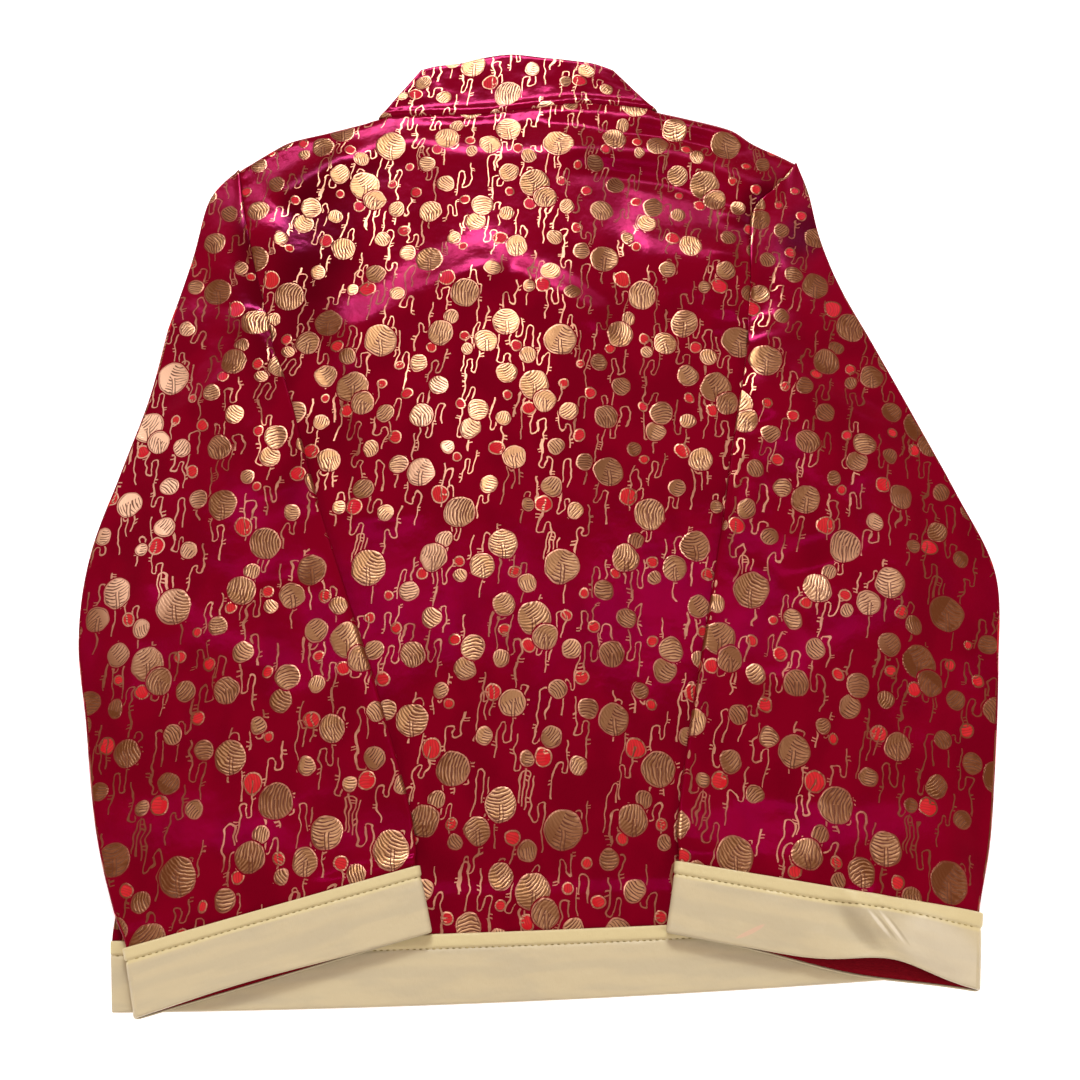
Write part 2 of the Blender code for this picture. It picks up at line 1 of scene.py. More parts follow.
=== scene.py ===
"""Dresses a child's tang jacket, laid flat on its front: brocade, cream bands and sewing.

Every piece of cloth is drawn from the jacket's own tables, as in the frame, but finer:
the same outline and layers, with creases, rolled edges and seams. Plan sizes and heights
in the tables are in millimetres, +X is the wearer's right and +Y points to the collar.
"""

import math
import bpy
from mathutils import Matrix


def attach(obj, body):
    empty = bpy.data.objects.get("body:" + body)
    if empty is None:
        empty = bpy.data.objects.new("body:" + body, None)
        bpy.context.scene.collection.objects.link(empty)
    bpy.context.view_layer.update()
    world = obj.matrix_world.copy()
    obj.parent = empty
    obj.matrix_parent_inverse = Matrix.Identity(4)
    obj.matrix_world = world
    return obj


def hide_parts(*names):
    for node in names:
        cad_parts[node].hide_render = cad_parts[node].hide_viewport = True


bl_info = {
    "name": "Tang jacket dressing",
    "version": (1, 0, 0),
    "blender": (4, 5, 0),
    "location": "3D View > Sidebar > Tang jacket",
    "description": "Sews the cloth, bands, frogs and stitches of a tang jacket round its frame",
    "category": "Object",
}

from collections import namedtuple

import bpy
import numpy as np

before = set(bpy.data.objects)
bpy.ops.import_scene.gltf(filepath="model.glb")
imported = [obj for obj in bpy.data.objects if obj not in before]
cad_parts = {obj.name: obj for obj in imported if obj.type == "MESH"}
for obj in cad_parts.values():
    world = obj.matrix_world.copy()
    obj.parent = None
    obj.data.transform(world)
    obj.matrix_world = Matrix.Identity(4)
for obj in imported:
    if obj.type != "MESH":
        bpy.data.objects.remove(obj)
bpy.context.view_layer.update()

MM = 0.001
PLAN_CENTRE = (0.2, 39.7)  # middle of the jacket's outline, in the tables' own plan

# --- Sizes of the cloth and its layers ---

FRAME_WALL = 1.0  # wall of the frame's pieces, which set how far apart the layers lie
CLOTH = 0.7  # wall of the cloth itself
SEAM_GAP = 0.3
ARMHOLE_GAP = 0.3  # in plan, between a sleeve and the panels that it is sewn to
LAYER_GAP = 0.5
BAND_STEP = FRAME_WALL + SEAM_GAP
INSET = 0.8  # how far the fronts stay inside the back's outline
EDGE_STEPS = [0.0, 0.25, 0.7, 1.3, 2.1, 3.1]  # distances of the columns next to an edge

BodyRow = namedtuple("BodyRow", "left_x left_y right_x right_y sag")
BODY_ROWS = [
    BodyRow(-164.5, 216.0, 140.5, 221.0, 0.0),  # shoulder tips
    BodyRow(-162.0, 203.0, 129.0, 205.5, 0.0),
    BodyRow(-159.0, 189.0, 115.5, 190.5, 0.0),
    BodyRow(-156.0, 175.0, 112.0, 175.0, 0.0),
    BodyRow(-152.5, 161.5, 111.0, 160.0, 0.0),
    BodyRow(-149.0, 148.0, 110.5, 146.0, 0.0),
    BodyRow(-145.0, 134.5, 109.0, 132.0, 0.0),
    BodyRow(-141.0, 121.5, 107.5, 119.0, 0.0),
    BodyRow(-138.0, 110.0, 106.5, 106.0, 0.0),  # where the sleeves fold over the back
    BodyRow(-142.0, 95.0, 112.0, 92.0, 0.0),
    BodyRow(-152.0, 80.0, 130.0, 77.0, 0.0),
    BodyRow(-166.0, 66.0, 151.0, 62.0, 0.0),  # underarms
    BodyRow(-169.0, 36.0, 155.0, 34.0, 0.0),
    BodyRow(-172.0, 0.0, 158.0, 0.0, 0.0),
    BodyRow(-175.0, -40.0, 160.5, -38.0, -0.4),
    BodyRow(-177.5, -80.0, 162.5, -75.0, -0.8),
    BodyRow(-180.0, -120.0, 164.0, -112.0, -1.2),
    BodyRow(-181.8, -155.0, 165.5, -144.0, -1.7),
    BodyRow(-182.3, -173.0, 166.3, -161.0, -2.0),
    BodyRow(-182.5, -184.5, 167.0, -172.0, -2.2),  # top of the hem band
    BodyRow(-180.5, -199.0, 168.0, -185.5, -2.5),
    BodyRow(-178.5, -213.0, 169.0, -198.5, -2.8),  # hem
]
FOLD_ROW = 8
UNDERARM_ROW = 11
HEM_TOP_ROW = 19
HEM_ROW = 21

TopPoint = namedtuple("TopPoint", "x y")
BACK_TOP = [
    TopPoint(-164.5, 216.0),
    TopPoint(-148.0, 229.0),
    TopPoint(-137.0, 236.0),
    TopPoint(-117.0, 242.0),
    TopPoint(-98.0, 248.0),
    TopPoint(-88.0, 251.0),
    TopPoint(-57.0, 252.0),
    TopPoint(-34.0, 252.5),
    TopPoint(-9.0, 256.0),
    TopPoint(22.0, 260.0),
    TopPoint(40.0, 259.0),
    TopPoint(63.0, 255.5),
    TopPoint(84.0, 250.0),
    TopPoint(105.0, 243.0),
    TopPoint(118.0, 234.0),
    TopPoint(131.0, 226.5),
    TopPoint(140.5, 221.0),
]
NECK_LEFT = (-89.0, 251.5)
NECK_RIGHT = (64.5, 255.5)
FRONT_NECK = (-12.5, 205.0)
FRONT_HEM = (-5.0, -208.0)  # lower end of the centre front

COLLAR_TOP = [
    TopPoint(-66.0, 283.0),
    TopPoint(-58.0, 285.5),
    TopPoint(-44.0, 287.5),
    TopPoint(-33.0, 291.0),
    TopPoint(-17.0, 293.8),
    TopPoint(1.0, 291.7),
    TopPoint(17.0, 289.5),
    TopPoint(30.0, 287.2),
    TopPoint(40.0, 283.0),
]
COLLAR_FRONT_HEIGHT = 38.0
COLLAR_CORNER = 14.0
COLLAR_CORNER_START = 0.6

TIPS = BODY_ROWS[0]
FOLD = BODY_ROWS[FOLD_ROW]

Ring = namedtuple("Ring", "outer_x outer_y inner_x inner_y")
SLEEVE_RINGS = {
    "left": [
        Ring(TIPS.left_x - ARMHOLE_GAP, TIPS.left_y, FOLD.left_x - ARMHOLE_GAP, FOLD.left_y),
        Ring(-178.5, 197.0, -135.5, 101.0),
        Ring(-184.0, 161.0, -130.0, 88.0),
        Ring(-191.0, 120.0, -123.0, 66.0),
        Ring(-197.0, 78.0, -114.0, 36.0),
        Ring(-207.0, 34.0, -103.0, 3.0),
        Ring(-216.0, -8.0, -90.0, -34.0),
        Ring(-216.0, -50.0, -76.5, -71.0),
        Ring(-207.0, -90.0, -66.0, -102.0),
        Ring(-197.0, -132.0, -57.5, -129.0),
        Ring(-182.5, -172.0, -54.0, -146.0),
        Ring(-174.5, -187.5, -53.5, -154.0),  # top of the cuff
        Ring(-166.5, -215.5, -46.8, -181.5),  # edge of the cuff
    ],
    "right": [
        Ring(TIPS.right_x + ARMHOLE_GAP, TIPS.right_y, FOLD.right_x + ARMHOLE_GAP, FOLD.right_y),
        Ring(146.0, 200.0, 104.5, 95.0),
        Ring(149.5, 172.0, 101.5, 80.0),
        Ring(157.0, 143.0, 98.0, 62.0),
        Ring(172.0, 106.0, 94.0, 41.0),
        Ring(187.0, 68.0, 90.0, 16.0),
        Ring(204.0, 24.0, 84.0, -14.0),
        Ring(217.5, -18.0, 77.0, -49.0),
        Ring(213.0, -62.0, 70.0, -82.0),
        Ring(206.0, -104.0, 64.0, -114.0),
        Ring(197.5, -146.0, 60.0, -138.0),
        Ring(188.0, -173.0, 60.0, -152.0),  # top of the cuff
        Ring(182.0, -204.5, 54.5, -181.5),  # edge of the cuff
    ],
}
CUFF_TOP_ROW = 11
CUFF_ROW = 12
SLEEVE_PUFF = 1.6
Mouth = namedtuple("Mouth", "place width back lift")
MOUTH_UPPER = {"left": Mouth(0.36, 0.32, 1.7, 0.5), "right": Mouth(0.28, 0.17, 6.0, 2.6)}
MOUTH_LOWER = {"left": None, "right": Mouth(0.40, 0.25, -3.0, 0.0)}

# Largest folds, as in the frame: a soft ridge along each line
Fold = namedtuple("Fold", "piece x0 y0 x1 y1 width height")
FOLDS = [
    Fold("back", 8.0, 253.0, 58.0, 250.0, 9.0, 2.0),
    Fold("back", 58.0, 250.0, 104.0, 238.0, 9.0, 2.0),
    Fold("back", 20.0, 228.0, 74.0, 225.0, 12.0, 2.6),
    Fold("back", 74.0, 225.0, 116.0, 205.0, 12.0, 2.6),
    Fold("back", -94.0, 112.0, -60.0, 134.0, 17.0, 2.8),
    Fold("back", -60.0, 134.0, -30.0, 148.0, 17.0, 2.8),
    Fold("back", -12.0, 146.0, 28.0, 124.0, 11.0, 1.9),
    Fold("back", 58.0, 157.0, 92.0, 151.0, 24.0, 3.9),
    Fold("back", -52.0, 236.0, 6.0, 238.0, 24.0, 1.3),
    Fold("back", -136.0, 200.0, -110.0, 220.0, 11.0, 2.2),
    Fold("back", -148.0, 176.0, -136.0, 158.0, 19.0, 2.6),
    Fold("back", -60.0, 60.0, -36.0, -60.0, 26.0, 1.6),
    Fold("back", 40.0, 30.0, 28.0, -110.0, 28.0, 1.4),
    Fold("sleeve_left", -188.0, 110.0, -140.0, 30.0, 18.0, 1.4),
    Fold("sleeve_left", -186.0, -30.0, -110.0, -70.0, 20.0, 1.4),
    Fold("sleeve_right", 130.0, 150.0, 128.0, 60.0, 16.0, 1.4),
    Fold("sleeve_right", 190.0, -20.0, 112.0, -70.0, 20.0, 1.4),
]

# Creases: a line from one end through its middle to the other, raised or, below zero, sunk
Crease = namedtuple("Crease", "piece x0 y0 bend_x bend_y x1 y1 width height")
CREASES = [
    Crease("back", -110.0, 222.0, -84.0, 236.0, -52.0, 232.0, 8.0, 0.9),  # left shoulder
    Crease("back", -74.0, 246.0, -40.0, 243.0, -6.0, 248.0, 4.0, -0.8),  # puckers at the collar
    Crease("back", -6.0, 249.0, 20.0, 246.0, 44.0, 249.0, 3.5, -0.9),
    Crease("back", 30.0, 241.0, 70.0, 242.0, 108.0, 226.0, 4.0, -1.5),  # between the rolls
    Crease("back", 10.0, 214.0, 62.0, 218.0, 114.0, 190.0, 6.0, -1.6),  # valley under the rolls
    Crease("back", -132.0, 190.0, -124.0, 160.0, -126.0, 128.0, 9.0, -0.9),  # beside the left armhole
    Crease("back", 76.0, 158.0, 92.0, 161.0, 104.0, 156.0, 16.0, 0.3),
    Crease("back", 28.0, 157.0, 43.0, 158.0, 57.0, 157.0, 14.0, -1.2),
    Crease("back", -28.0, 104.0, -24.0, 40.0, -20.0, -44.0, 16.0, 1.6),
    Crease("back", 96.0, 190.0, 102.0, 184.0, 110.0, 184.0, 4.0, 0.8),  # puckers at the right armhole
    Crease("back", 90.0, 164.0, 98.0, 158.0, 107.0, 158.0, 4.0, 0.7),
    Crease("back", 86.0, 146.0, 97.0, 142.0, 106.0, 143.0, 4.0, -0.7),
    Crease("back", 88.0, 128.0, 97.0, 126.0, 105.0, 127.0, 4.0, 0.7),
    Crease("back", 84.0, 112.0, 94.0, 108.0, 104.0, 110.0, 4.0, -0.6),
    Crease("back", -104.0, 100.0, -76.0, 88.0, -60.0, 66.0, 9.0, 0.6),
    Crease("back", -90.0, 12.0, -74.0, 8.0, -56.0, 14.0, 6.0, 0.8),
    Crease("back", -36.0, 88.0, -22.0, 60.0, -34.0, 20.0, 12.0, -0.6),
    Crease("back", 8.0, 90.0, 16.0, 60.0, 6.0, 20.0, 12.0, 0.5),
    Crease("back", 60.0, 100.0, 54.0, 60.0, 62.0, 10.0, 10.0, -0.5),
    Crease("back", -10.0, -10.0, -14.0, -70.0, -4.0, -130.0, 13.0, -0.6),
    Crease("back", 52.0, -60.0, 48.0, -110.0, 56.0, -150.0, 9.0, 0.5),
    Crease("back", -44.0, -110.0, -30.0, -130.0, -18.0, -160.0, 8.0, 0.5),
    Crease("sleeve_left", -132.0, 112.0, -119.0, 60.0, -106.0, 10.0, 9.0, 3.0),  # inner edge
    Crease("sleeve_left", -106.0, 10.0, -90.0, -50.0, -66.0, -130.0, 10.0, 2.4),
    Crease("back", -112.0, 112.0, -101.0, 60.0, -90.0, 10.0, 8.0, -1.0),  # beside it
    Crease("sleeve_left", -170.0, 196.0, -164.0, 176.0, -162.0, 150.0, 7.0, -0.8),
    Crease("sleeve_left", -182.0, 168.0, -172.0, 140.0, -168.0, 104.0, 8.0, -0.9),
    Crease("sleeve_left", -150.0, 128.0, -146.0, 108.0, -140.0, 84.0, 6.0, 0.8),
    Crease("sleeve_left", -128.0, 78.0, -134.0, 60.0, -150.0, 46.0, 6.0, 0.9),
    Crease("sleeve_left", -120.0, 58.0, -126.0, 42.0, -140.0, 30.0, 5.0, -0.8),
    Crease("sleeve_left", -112.0, 36.0, -120.0, 24.0, -138.0, 14.0, 6.0, 0.8),
    Crease("sleeve_left", -206.0, 30.0, -190.0, 14.0, -170.0, 6.0, 8.0, -0.8),
    Crease("sleeve_left", -214.0, -14.0, -196.0, -24.0, -176.0, -26.0, 8.0, 0.9),
    Crease("sleeve_left", -212.0, -52.0, -190.0, -56.0, -160.0, -44.0, 8.0, -0.8),
    Crease("sleeve_left", -206.0, -84.0, -186.0, -84.0, -164.0, -74.0, 9.0, 0.8),
    Crease("sleeve_left", -100.0, -14.0, -118.0, -24.0, -142.0, -24.0, 7.0, -0.7),
    Crease("sleeve_left", -86.0, -66.0, -104.0, -82.0, -130.0, -86.0, 9.0, 0.8),
    Crease("sleeve_left", -196.0, -120.0, -170.0, -124.0, -140.0, -112.0, 9.0, -0.6),
    Crease("sleeve_left", -70.0, -112.0, -90.0, -128.0, -120.0, -132.0, 9.0, 0.6),
    Crease("cuff_right", 122.0, -167.0, 132.0, -180.0, 139.0, -193.0, 5.0, -2.0),
    Crease("cuff_right", 130.0, -164.0, 141.0, -176.0, 153.0, -188.0, 3.2, 2.8),
    Crease("cuff_right", 139.0, -162.0, 147.0, -171.0, 155.0, -181.0, 2.8, 2.0),
    Crease("cuff_right", 160.0, -172.0, 168.0, -184.0, 174.0, -200.0, 8.0, 2.6),
    Crease("cuff_right", 98.0, -164.0, 104.0, -176.0, 112.0, -192.0, 7.0, 0.9),
    Crease("cuff_right", 106.0, -180.0, 108.0, -187.0, 109.0, -194.0, 2.6, -0.9),
    Crease("cuff_right", 117.0, -178.0, 119.0, -185.0, 120.0, -194.0, 2.8, 1.0),
    Crease("cuff_right", 146.0, -190.0, 160.0, -196.0, 172.0, -199.0, 2.6, -1.0),
    Crease("cuff_left", -84.0, -150.0, -88.0, -168.0, -84.0, -192.0, 9.0, 0.4),
    Crease("sleeve_right", 112.0, 90.0, 100.0, 40.0, 88.0, -20.0, 8.0, 2.2),  # inner edge
    Crease("sleeve_right", 88.0, -20.0, 80.0, -70.0, 70.0, -130.0, 9.0, 1.8),
    Crease("sleeve_right", 100.0, 54.0, 107.0, 59.0, 118.0, 62.0, 4.0, -1.3),
    Crease("sleeve_right", 136.0, 200.0, 134.0, 176.0, 138.0, 150.0, 7.0, -0.5),
    Crease("sleeve_right", 118.0, 170.0, 122.0, 146.0, 118.0, 118.0, 6.0, -0.8),
    Crease("sleeve_right", 148.0, 150.0, 142.0, 120.0, 148.0, 92.0, 8.0, 0.9),
    Crease("sleeve_right", 108.0, 92.0, 114.0, 66.0, 108.0, 38.0, 7.0, 0.8),
    Crease("sleeve_right", 168.0, 96.0, 156.0, 66.0, 146.0, 40.0, 8.0, -0.9),
    Crease("sleeve_right", 182.0, 60.0, 168.0, 40.0, 150.0, 26.0, 7.0, 1.0),
    Crease("sleeve_right", 150.0, 10.0, 136.0, 0.0, 116.0, -4.0, 8.0, 1.0),
    Crease("sleeve_right", 154.0, -8.0, 134.0, -18.0, 108.0, -20.0, 6.0, -1.0),
    Crease("sleeve_right", 206.0, 6.0, 190.0, -8.0, 170.0, -12.0, 8.0, 0.9),
    Crease("sleeve_right", 86.0, -8.0, 98.0, -18.0, 112.0, -22.0, 5.0, 0.8),
    Crease("sleeve_right", 210.0, -56.0, 192.0, -64.0, 166.0, -66.0, 8.0, -0.8),
    Crease("sleeve_right", 80.0, -60.0, 98.0, -72.0, 124.0, -72.0, 7.0, 0.7),
    Crease("sleeve_right", 204.0, -100.0, 180.0, -108.0, 150.0, -106.0, 9.0, 0.7),
    Crease("sleeve_right", 70.0, -108.0, 94.0, -124.0, 128.0, -128.0, 9.0, -0.6),
]

# Frog closures under the fronts, and the rise that the fronts make over them
FROG_ROWS = [165.0, 95.0, 25.0, -45.0, -115.0]
FROG_LENGTH = 42.0
FROG_HEIGHT = 2.2
FRONT_RISE = FROG_HEIGHT + SEAM_GAP
RISE_FLAT = 26.0
RISE_END = 62.0
RISE_TOP = (176.0, 202.0)
BACK_RISE_TOP = (222.0, 250.0)
RISE_BOTTOM = (-134.0, -154.0)

# Where the sleeves ride up on to the back
BRIDGE_FLAT = 10.0
BRIDGE_END = 32.0
BRIDGE_UP_SEAM = 20.0

# Where a layer climbs over the hem bands under it: from start to end at x = 0, leaning with x
Climb = namedtuple("Climb", "start end lean_start lean_end")
FRONT_CLIMB = Climb(-156.0, -168.0, 0.0, 0.034)
SLEEVE_CLIMB = Climb(-128.0, -160.0, 0.03, 0.03)
SLEEVE_FRONT_CLIMB = Climb(-120.0, -150.0, 0.0, 0.0)  # over the fronts' bands, beside the back

# Unevenness of each cloth: lumps of two sizes, and the seeds that they are drawn by
Lumps = namedtuple("Lumps", "height size seed")
BACK_LUMPS = [Lumps(0.28, 46.0, 3), Lumps(0.10, 17.0, 4)]
SLEEVE_LUMPS = [Lumps(0.32, 40.0, 7), Lumps(0.12, 15.0, 8)]
COLLAR_LUMPS = [Lumps(0.35, 34.0, 11), Lumps(0.12, 12.0, 12)]
WAVES = 9  # sine waves that each kind of lumps adds up
CALM_TOP = (150.0, 190.0)  # the back lies smoother above these heights, by CALM_SHARE
CALM_SHARE = 0.6
CALM_LOW = (90.0, 20.0)  # and smoother below these, by CALM_LOW_SHARE
CALM_LOW_SHARE = 0.4

# Puckers along a seam: soft waves of uneven length that fade out away from the seam
Puckers = namedtuple("Puckers", "height pitch sway sway_length reach")
NECK_PUCKERS = Puckers(0.22, 7.3, 1.3, 11.0, 5.0)
ARMHOLE_PUCKERS = Puckers(0.25, 8.6, 1.0, 9.0, 5.0)
SLEEVE_PUCKERS = Puckers(0.28, 6.1, 2.0, 7.0, 6.0)
BAND_PUCKERS = Puckers(0.13, 5.9, 1.7, 13.0, 3.2)
COLLAR_PUCKERS = Puckers(0.30, 5.3, 1.6, 9.0, 2.6)

# Rounded edges: how far in from the edge cloth starts to turn down, and how far down it goes
Turn = namedtuple("Turn", "reach drop")
SIDE_TURN = Turn(1.3, 0.3)  # at the armholes, of the back and of the sleeves
SHOULDER_TURN = Turn(4.5, 2.0)
NECK_TURN = Turn(2.2, 0.7)
BAND_TOP_TURN = Turn(0.9, 0.7)
BAND_LOW_TURN = Turn(2.2, 1.1)
COLLAR_SEAM_TURN = Turn(1.8, 0.8)
COLLAR_TOP_TURN = Turn(1.6, 0.8)


def smooth(value):
    value = np.clip(value, 0.0, 1.0)
    return value * value * (3.0 - 2.0 * value)


def between(value, start, end):
    """0 at start and 1 at end, with soft ends."""
    return smooth((value - start) / (end - start))


def mix(a, b, share):
    return a + (b - a) * share


def along(rows, place):
    """Rows at places counted in rows, on smooth curves through the table, as named columns."""
    table = np.array(rows, float)
    place = np.asarray(place, float)
    first = np.clip(place.astype(int), 0, len(rows) - 2)
    share = (place - first)[..., None]
    p0 = table[np.maximum(first - 1, 0)]
    p1 = table[first]
    p2 = table[first + 1]
    p3 = table[np.minimum(first + 2, len(rows) - 1)]
    turn = p2 - p0 + (2 * p0 - 5 * p1 + 4 * p2 - p3 + (3 * p1 - p0 - 3 * p2 + p3) * share) * share
    values = p1 + 0.5 * share * turn
    return type(rows[0])(*np.moveaxis(values, -1, 0))


def soft_edge(points, steps=12):
    """A table edge as a close row of points on a smooth curve."""
    return along(points, np.linspace(0.0, len(points) - 1.0, steps * (len(points) - 1) + 1))


BACK_EDGE = soft_edge(BACK_TOP)
COLLAR_EDGE = soft_edge(COLLAR_TOP)


def edge_at(edge, x):
    return np.interp(x, edge.x, edge.y)


def lumps(x, y, size, seed):
    """Even, soft unevenness from -1 to 1 with lumps of one size, the same each run."""
    rng = np.random.default_rng(seed)
    total = np.zeros(np.broadcast(x, y).shape)
    for _ in range(WAVES):
        turn = rng.uniform(0.0, 2 * math.pi)
        length = size * rng.uniform(0.7, 1.6)
        phase = rng.uniform(0.0, 2 * math.pi)
        total += np.sin((x * math.cos(turn) + y * math.sin(turn)) * 2 * math.pi / length + phase)
    return total / WAVES


def unevenness(x, y, kinds):
    return sum(kind.height * lumps(x, y, kind.size, kind.seed) for kind in kinds)


def pucker_height(along_seam, away, kind):
    """Height of the puckers at a place along a seam and a distance away from it."""
    phase = along_seam * 2 * math.pi / kind.pitch + kind.sway * np.sin(along_seam / kind.sway_length)
    return kind.height * np.sin(phase) * np.exp(-((away / kind.reach) ** 2))


def line_distance(x, y, x0, y0, x1, y1):
    """Distance to a straight line, and the share of the way along it."""
    run_x, run_y = x1 - x0, y1 - y0
    share = ((x - x0) * run_x + (y - y0) * run_y) / (run_x**2 + run_y**2)
    share = np.clip(share, 0.0, 1.0)
    return np.hypot(x - x0 - run_x * share, y - y0 - run_y * share), share


def fold_height(piece, x, y):
    """Height of the large folds of one piece: the highest of its soft ridges."""
    height = np.zeros(np.broadcast(x, y).shape)
    for fold in FOLDS:
        if fold.piece == piece:
            away, _ = line_distance(x, y, fold.x0, fold.y0, fold.x1, fold.y1)
            height = np.maximum(height, fold.height * np.exp(-((away / fold.width) ** 2)))
    return height


CREASE_PARTS = 8  # straight parts that each bent crease is measured along
CREASE_FADE = 0.7  # the lower, the longer a crease keeps its full height


def crease_height(piece, x, y):
    """Height of the creases of one piece, each fading out towards its two ends."""
    height = np.zeros(np.broadcast(x, y).shape)
    shares = np.linspace(0.0, 1.0, CREASE_PARTS + 1)
    for crease in CREASES:
        if crease.piece != piece:
            continue
        near = (1 - shares) ** 2
        middle = 2 * shares * (1 - shares)
        line_x = near * crease.x0 + middle * crease.bend_x + shares**2 * crease.x1
        line_y = near * crease.y0 + middle * crease.bend_y + shares**2 * crease.y1
        best = np.full(height.shape, np.inf)
        place = np.zeros(height.shape)
        for part in range(CREASE_PARTS):
            ends = (line_x[part], line_y[part], line_x[part + 1], line_y[part + 1])
            away, share = line_distance(x, y, *ends)
            closer = away < best
            best = np.where(closer, away, best)
            place = np.where(closer, (part + share) / CREASE_PARTS, place)
        fade = np.sin(math.pi * np.clip(place, 0.02, 0.98)) ** CREASE_FADE
        height += crease.height * fade * np.exp(-((best / crease.width) ** 2))
    return height


# --- Heights of the layers, from the surface up ---


def centre_front(y):
    return mix(FRONT_HEM[0], FRONT_NECK[0], (y - FRONT_HEM[1]) / (FRONT_NECK[1] - FRONT_HEM[1]))


def climbed(x, y, climb):
    """How far a layer has climbed on to the bands under it."""
    return BAND_STEP * between(y, climb.start + climb.lean_start * x, climb.end + climb.lean_end * x)


def front_low(x, y, top=RISE_TOP):
    """Right side of the fronts: on the surface, but for the frogs and the hem band."""
    rise = 1.0 - between(np.abs(x - centre_front(y)), RISE_FLAT, RISE_END)
    rise = rise * (1.0 - between(y, *top)) * (1.0 - between(y, *RISE_BOTTOM))
    return FRONT_RISE * rise + climbed(x, y, FRONT_CLIMB)


def back_relief(x, y):
    """Folds, creases and unevenness of the back, over the fronts."""
    uneven = unevenness(x, y, BACK_LUMPS) * (1.0 - CALM_SHARE * between(y, *CALM_TOP))
    uneven = uneven * (1.0 - CALM_LOW_SHARE * between(y, *CALM_LOW))
    return fold_height("back", x, y) + crease_height("back", x, y) + uneven


def back_top(x, y):
    return front_low(x, y, BACK_RISE_TOP) + LAYER_GAP + 2 * FRAME_WALL + back_relief(x, y)


def body_side(y, side):
    """Plan x of the body's side at a height, on its left or its right."""
    xs = [getattr(row, side + "_x") for row in BODY_ROWS][::-1]
    ys = [getattr(row, side + "_y") for row in BODY_ROWS][::-1]
    return np.interp(y, ys, xs)


def carried(y, side):
    """1 where the body carries a sleeve beside its seam, 0 higher up the seam."""
    fold_y = getattr(FOLD, side + "_y")
    return 1.0 - between(y, fold_y, fold_y + BRIDGE_UP_SEAM)


def support(x, y, side):
    """What a sleeve lies on: the body where it covers it, and the surface beyond."""
    past = body_side(y, side) - x if side == "left" else x - body_side(y, side)
    share = (1.0 - between(past, BRIDGE_FLAT, BRIDGE_END)) * carried(y, side)
    level = np.maximum(front_low(x, y), climbed(x, y, SLEEVE_FRONT_CLIMB))
    level = level + LAYER_GAP + 2 * FRAME_WALL + back_relief(x, y) + SEAM_GAP
    return share * (level + climbed(x, y, SLEEVE_CLIMB))


def rolled(distance, turn):
    """How far cloth has turned down at a distance from its edge."""
    part = 1.0 - np.clip(distance / turn.reach, 0.0, 1.0)
    return turn.drop * (1.0 - np.sqrt(1.0 - part**2))


# --- Turning grids of points into pieces of cloth ---


def grid_of(width, spacing, steps=EDGE_STEPS):
    """Shares across a piece: close steps next to both edges and even ones between them."""
    near = np.array(steps) / width
    count = max(4, int((1 - 2 * near[-1]) * width / spacing))
    return np.concatenate([near[:-1], np.linspace(near[-1], 1 - near[-1], count), 1 - near[-2::-1]])


UV_NAME = "cloth"


def make_mesh_piece(name, points, faces, materials, uv=None):
    """An object of its own at the origin, from points in metres and the corners' places in the cloth."""
    mesh = bpy.data.meshes.new(name)
    mesh.from_pydata(points.tolist(), [], faces)
    for material in materials:
        mesh.materials.append(bpy.data.materials[material])
    if uv is not None:
        layer = mesh.uv_layers.new(name=UV_NAME)
        layer.data.foreach_set("uv", np.asarray(uv, np.float32).ravel())
    mesh.shade_smooth()
    piece = bpy.data.objects.new(name, mesh)
    bpy.context.scene.collection.objects.link(piece)
    return piece


def place_points(x, y, z):
    """Points of the tables' plan as points of the frame, in metres."""
    points = np.stack(np.broadcast_arrays(x - PLAN_CENTRE[0], y - PLAN_CENTRE[1], z), -1)
    return points.reshape(-1, 3) * MM


def make_cloth(name, grids, materials, around=False, turned=False, wall=CLOTH):
    """A piece whose right side goes through a grid of points, with its wall inside it.

    grids holds x, y and z, each rows by columns, and the cloth's own u and v, which have
    one column more where the piece closes round. materials are the right side's, the
    wrong side's and the cut edge's.
    """
    x, y, z = np.broadcast_arrays(*grids[:3])
    u, v = np.broadcast_arrays(*grids[3:])
    rows, columns = x.shape
    row = np.arange(rows - 1)[:, None]
    column = np.arange(columns if around else columns - 1)[None, :]
    corners = [(row, column), (row, column + 1), (row + 1, column + 1), (row + 1, column)]
    if turned:
        corners = corners[::-1]
    faces = np.stack([r * columns + c % columns for r, c in corners], -1).reshape(-1, 4)
    uv = np.stack([np.stack([u[r, c], v[r, c]], -1) for r, c in corners], -2)
    piece = make_mesh_piece(name, place_points(x, y, z), faces.tolist(), materials, uv)
    modifier = piece.modifiers.new("wall", "SOLIDIFY")
    modifier.thickness = wall * MM
    modifier.offset = -1.0
    modifier.material_offset = 1
    modifier.material_offset_rim = 2
    return piece


def sew_on(piece, slot, *nodes):
    """Lets a finished piece ride on the jacket in place of its solids in the frame."""
    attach(piece, "root")
    if nodes:
        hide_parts(*nodes)


def cloth_materials(kind):
    """Right side, wrong side and cut edge of one kind of cloth."""
    if kind == "brocade":
        return ["silk_brocade", "brocade_inside", "brocade_inside"]
    return ["cream_band", "cream_inside", "cream_inside"]


# --- Body: back, fronts and their hem bands ---


BACK_WIDTH = 320.0  # width and spacing of the grids' columns
BACK_SPACING = 2.25
FRONT_WIDTH = 160.0
FRONT_SPACING = 3.4
ROW_SPACING = 2.3
ROW_LENGTHS = [13.0] * UNDERARM_ROW + [32.0, 35.0, 39.0, 38.0, 38.5, 33.5, 17.5, 11.2, 14.0, 13.6]
LAST_ROW = HEM_ROW - 0.08  # the panels end just inside the fold of their hem bands

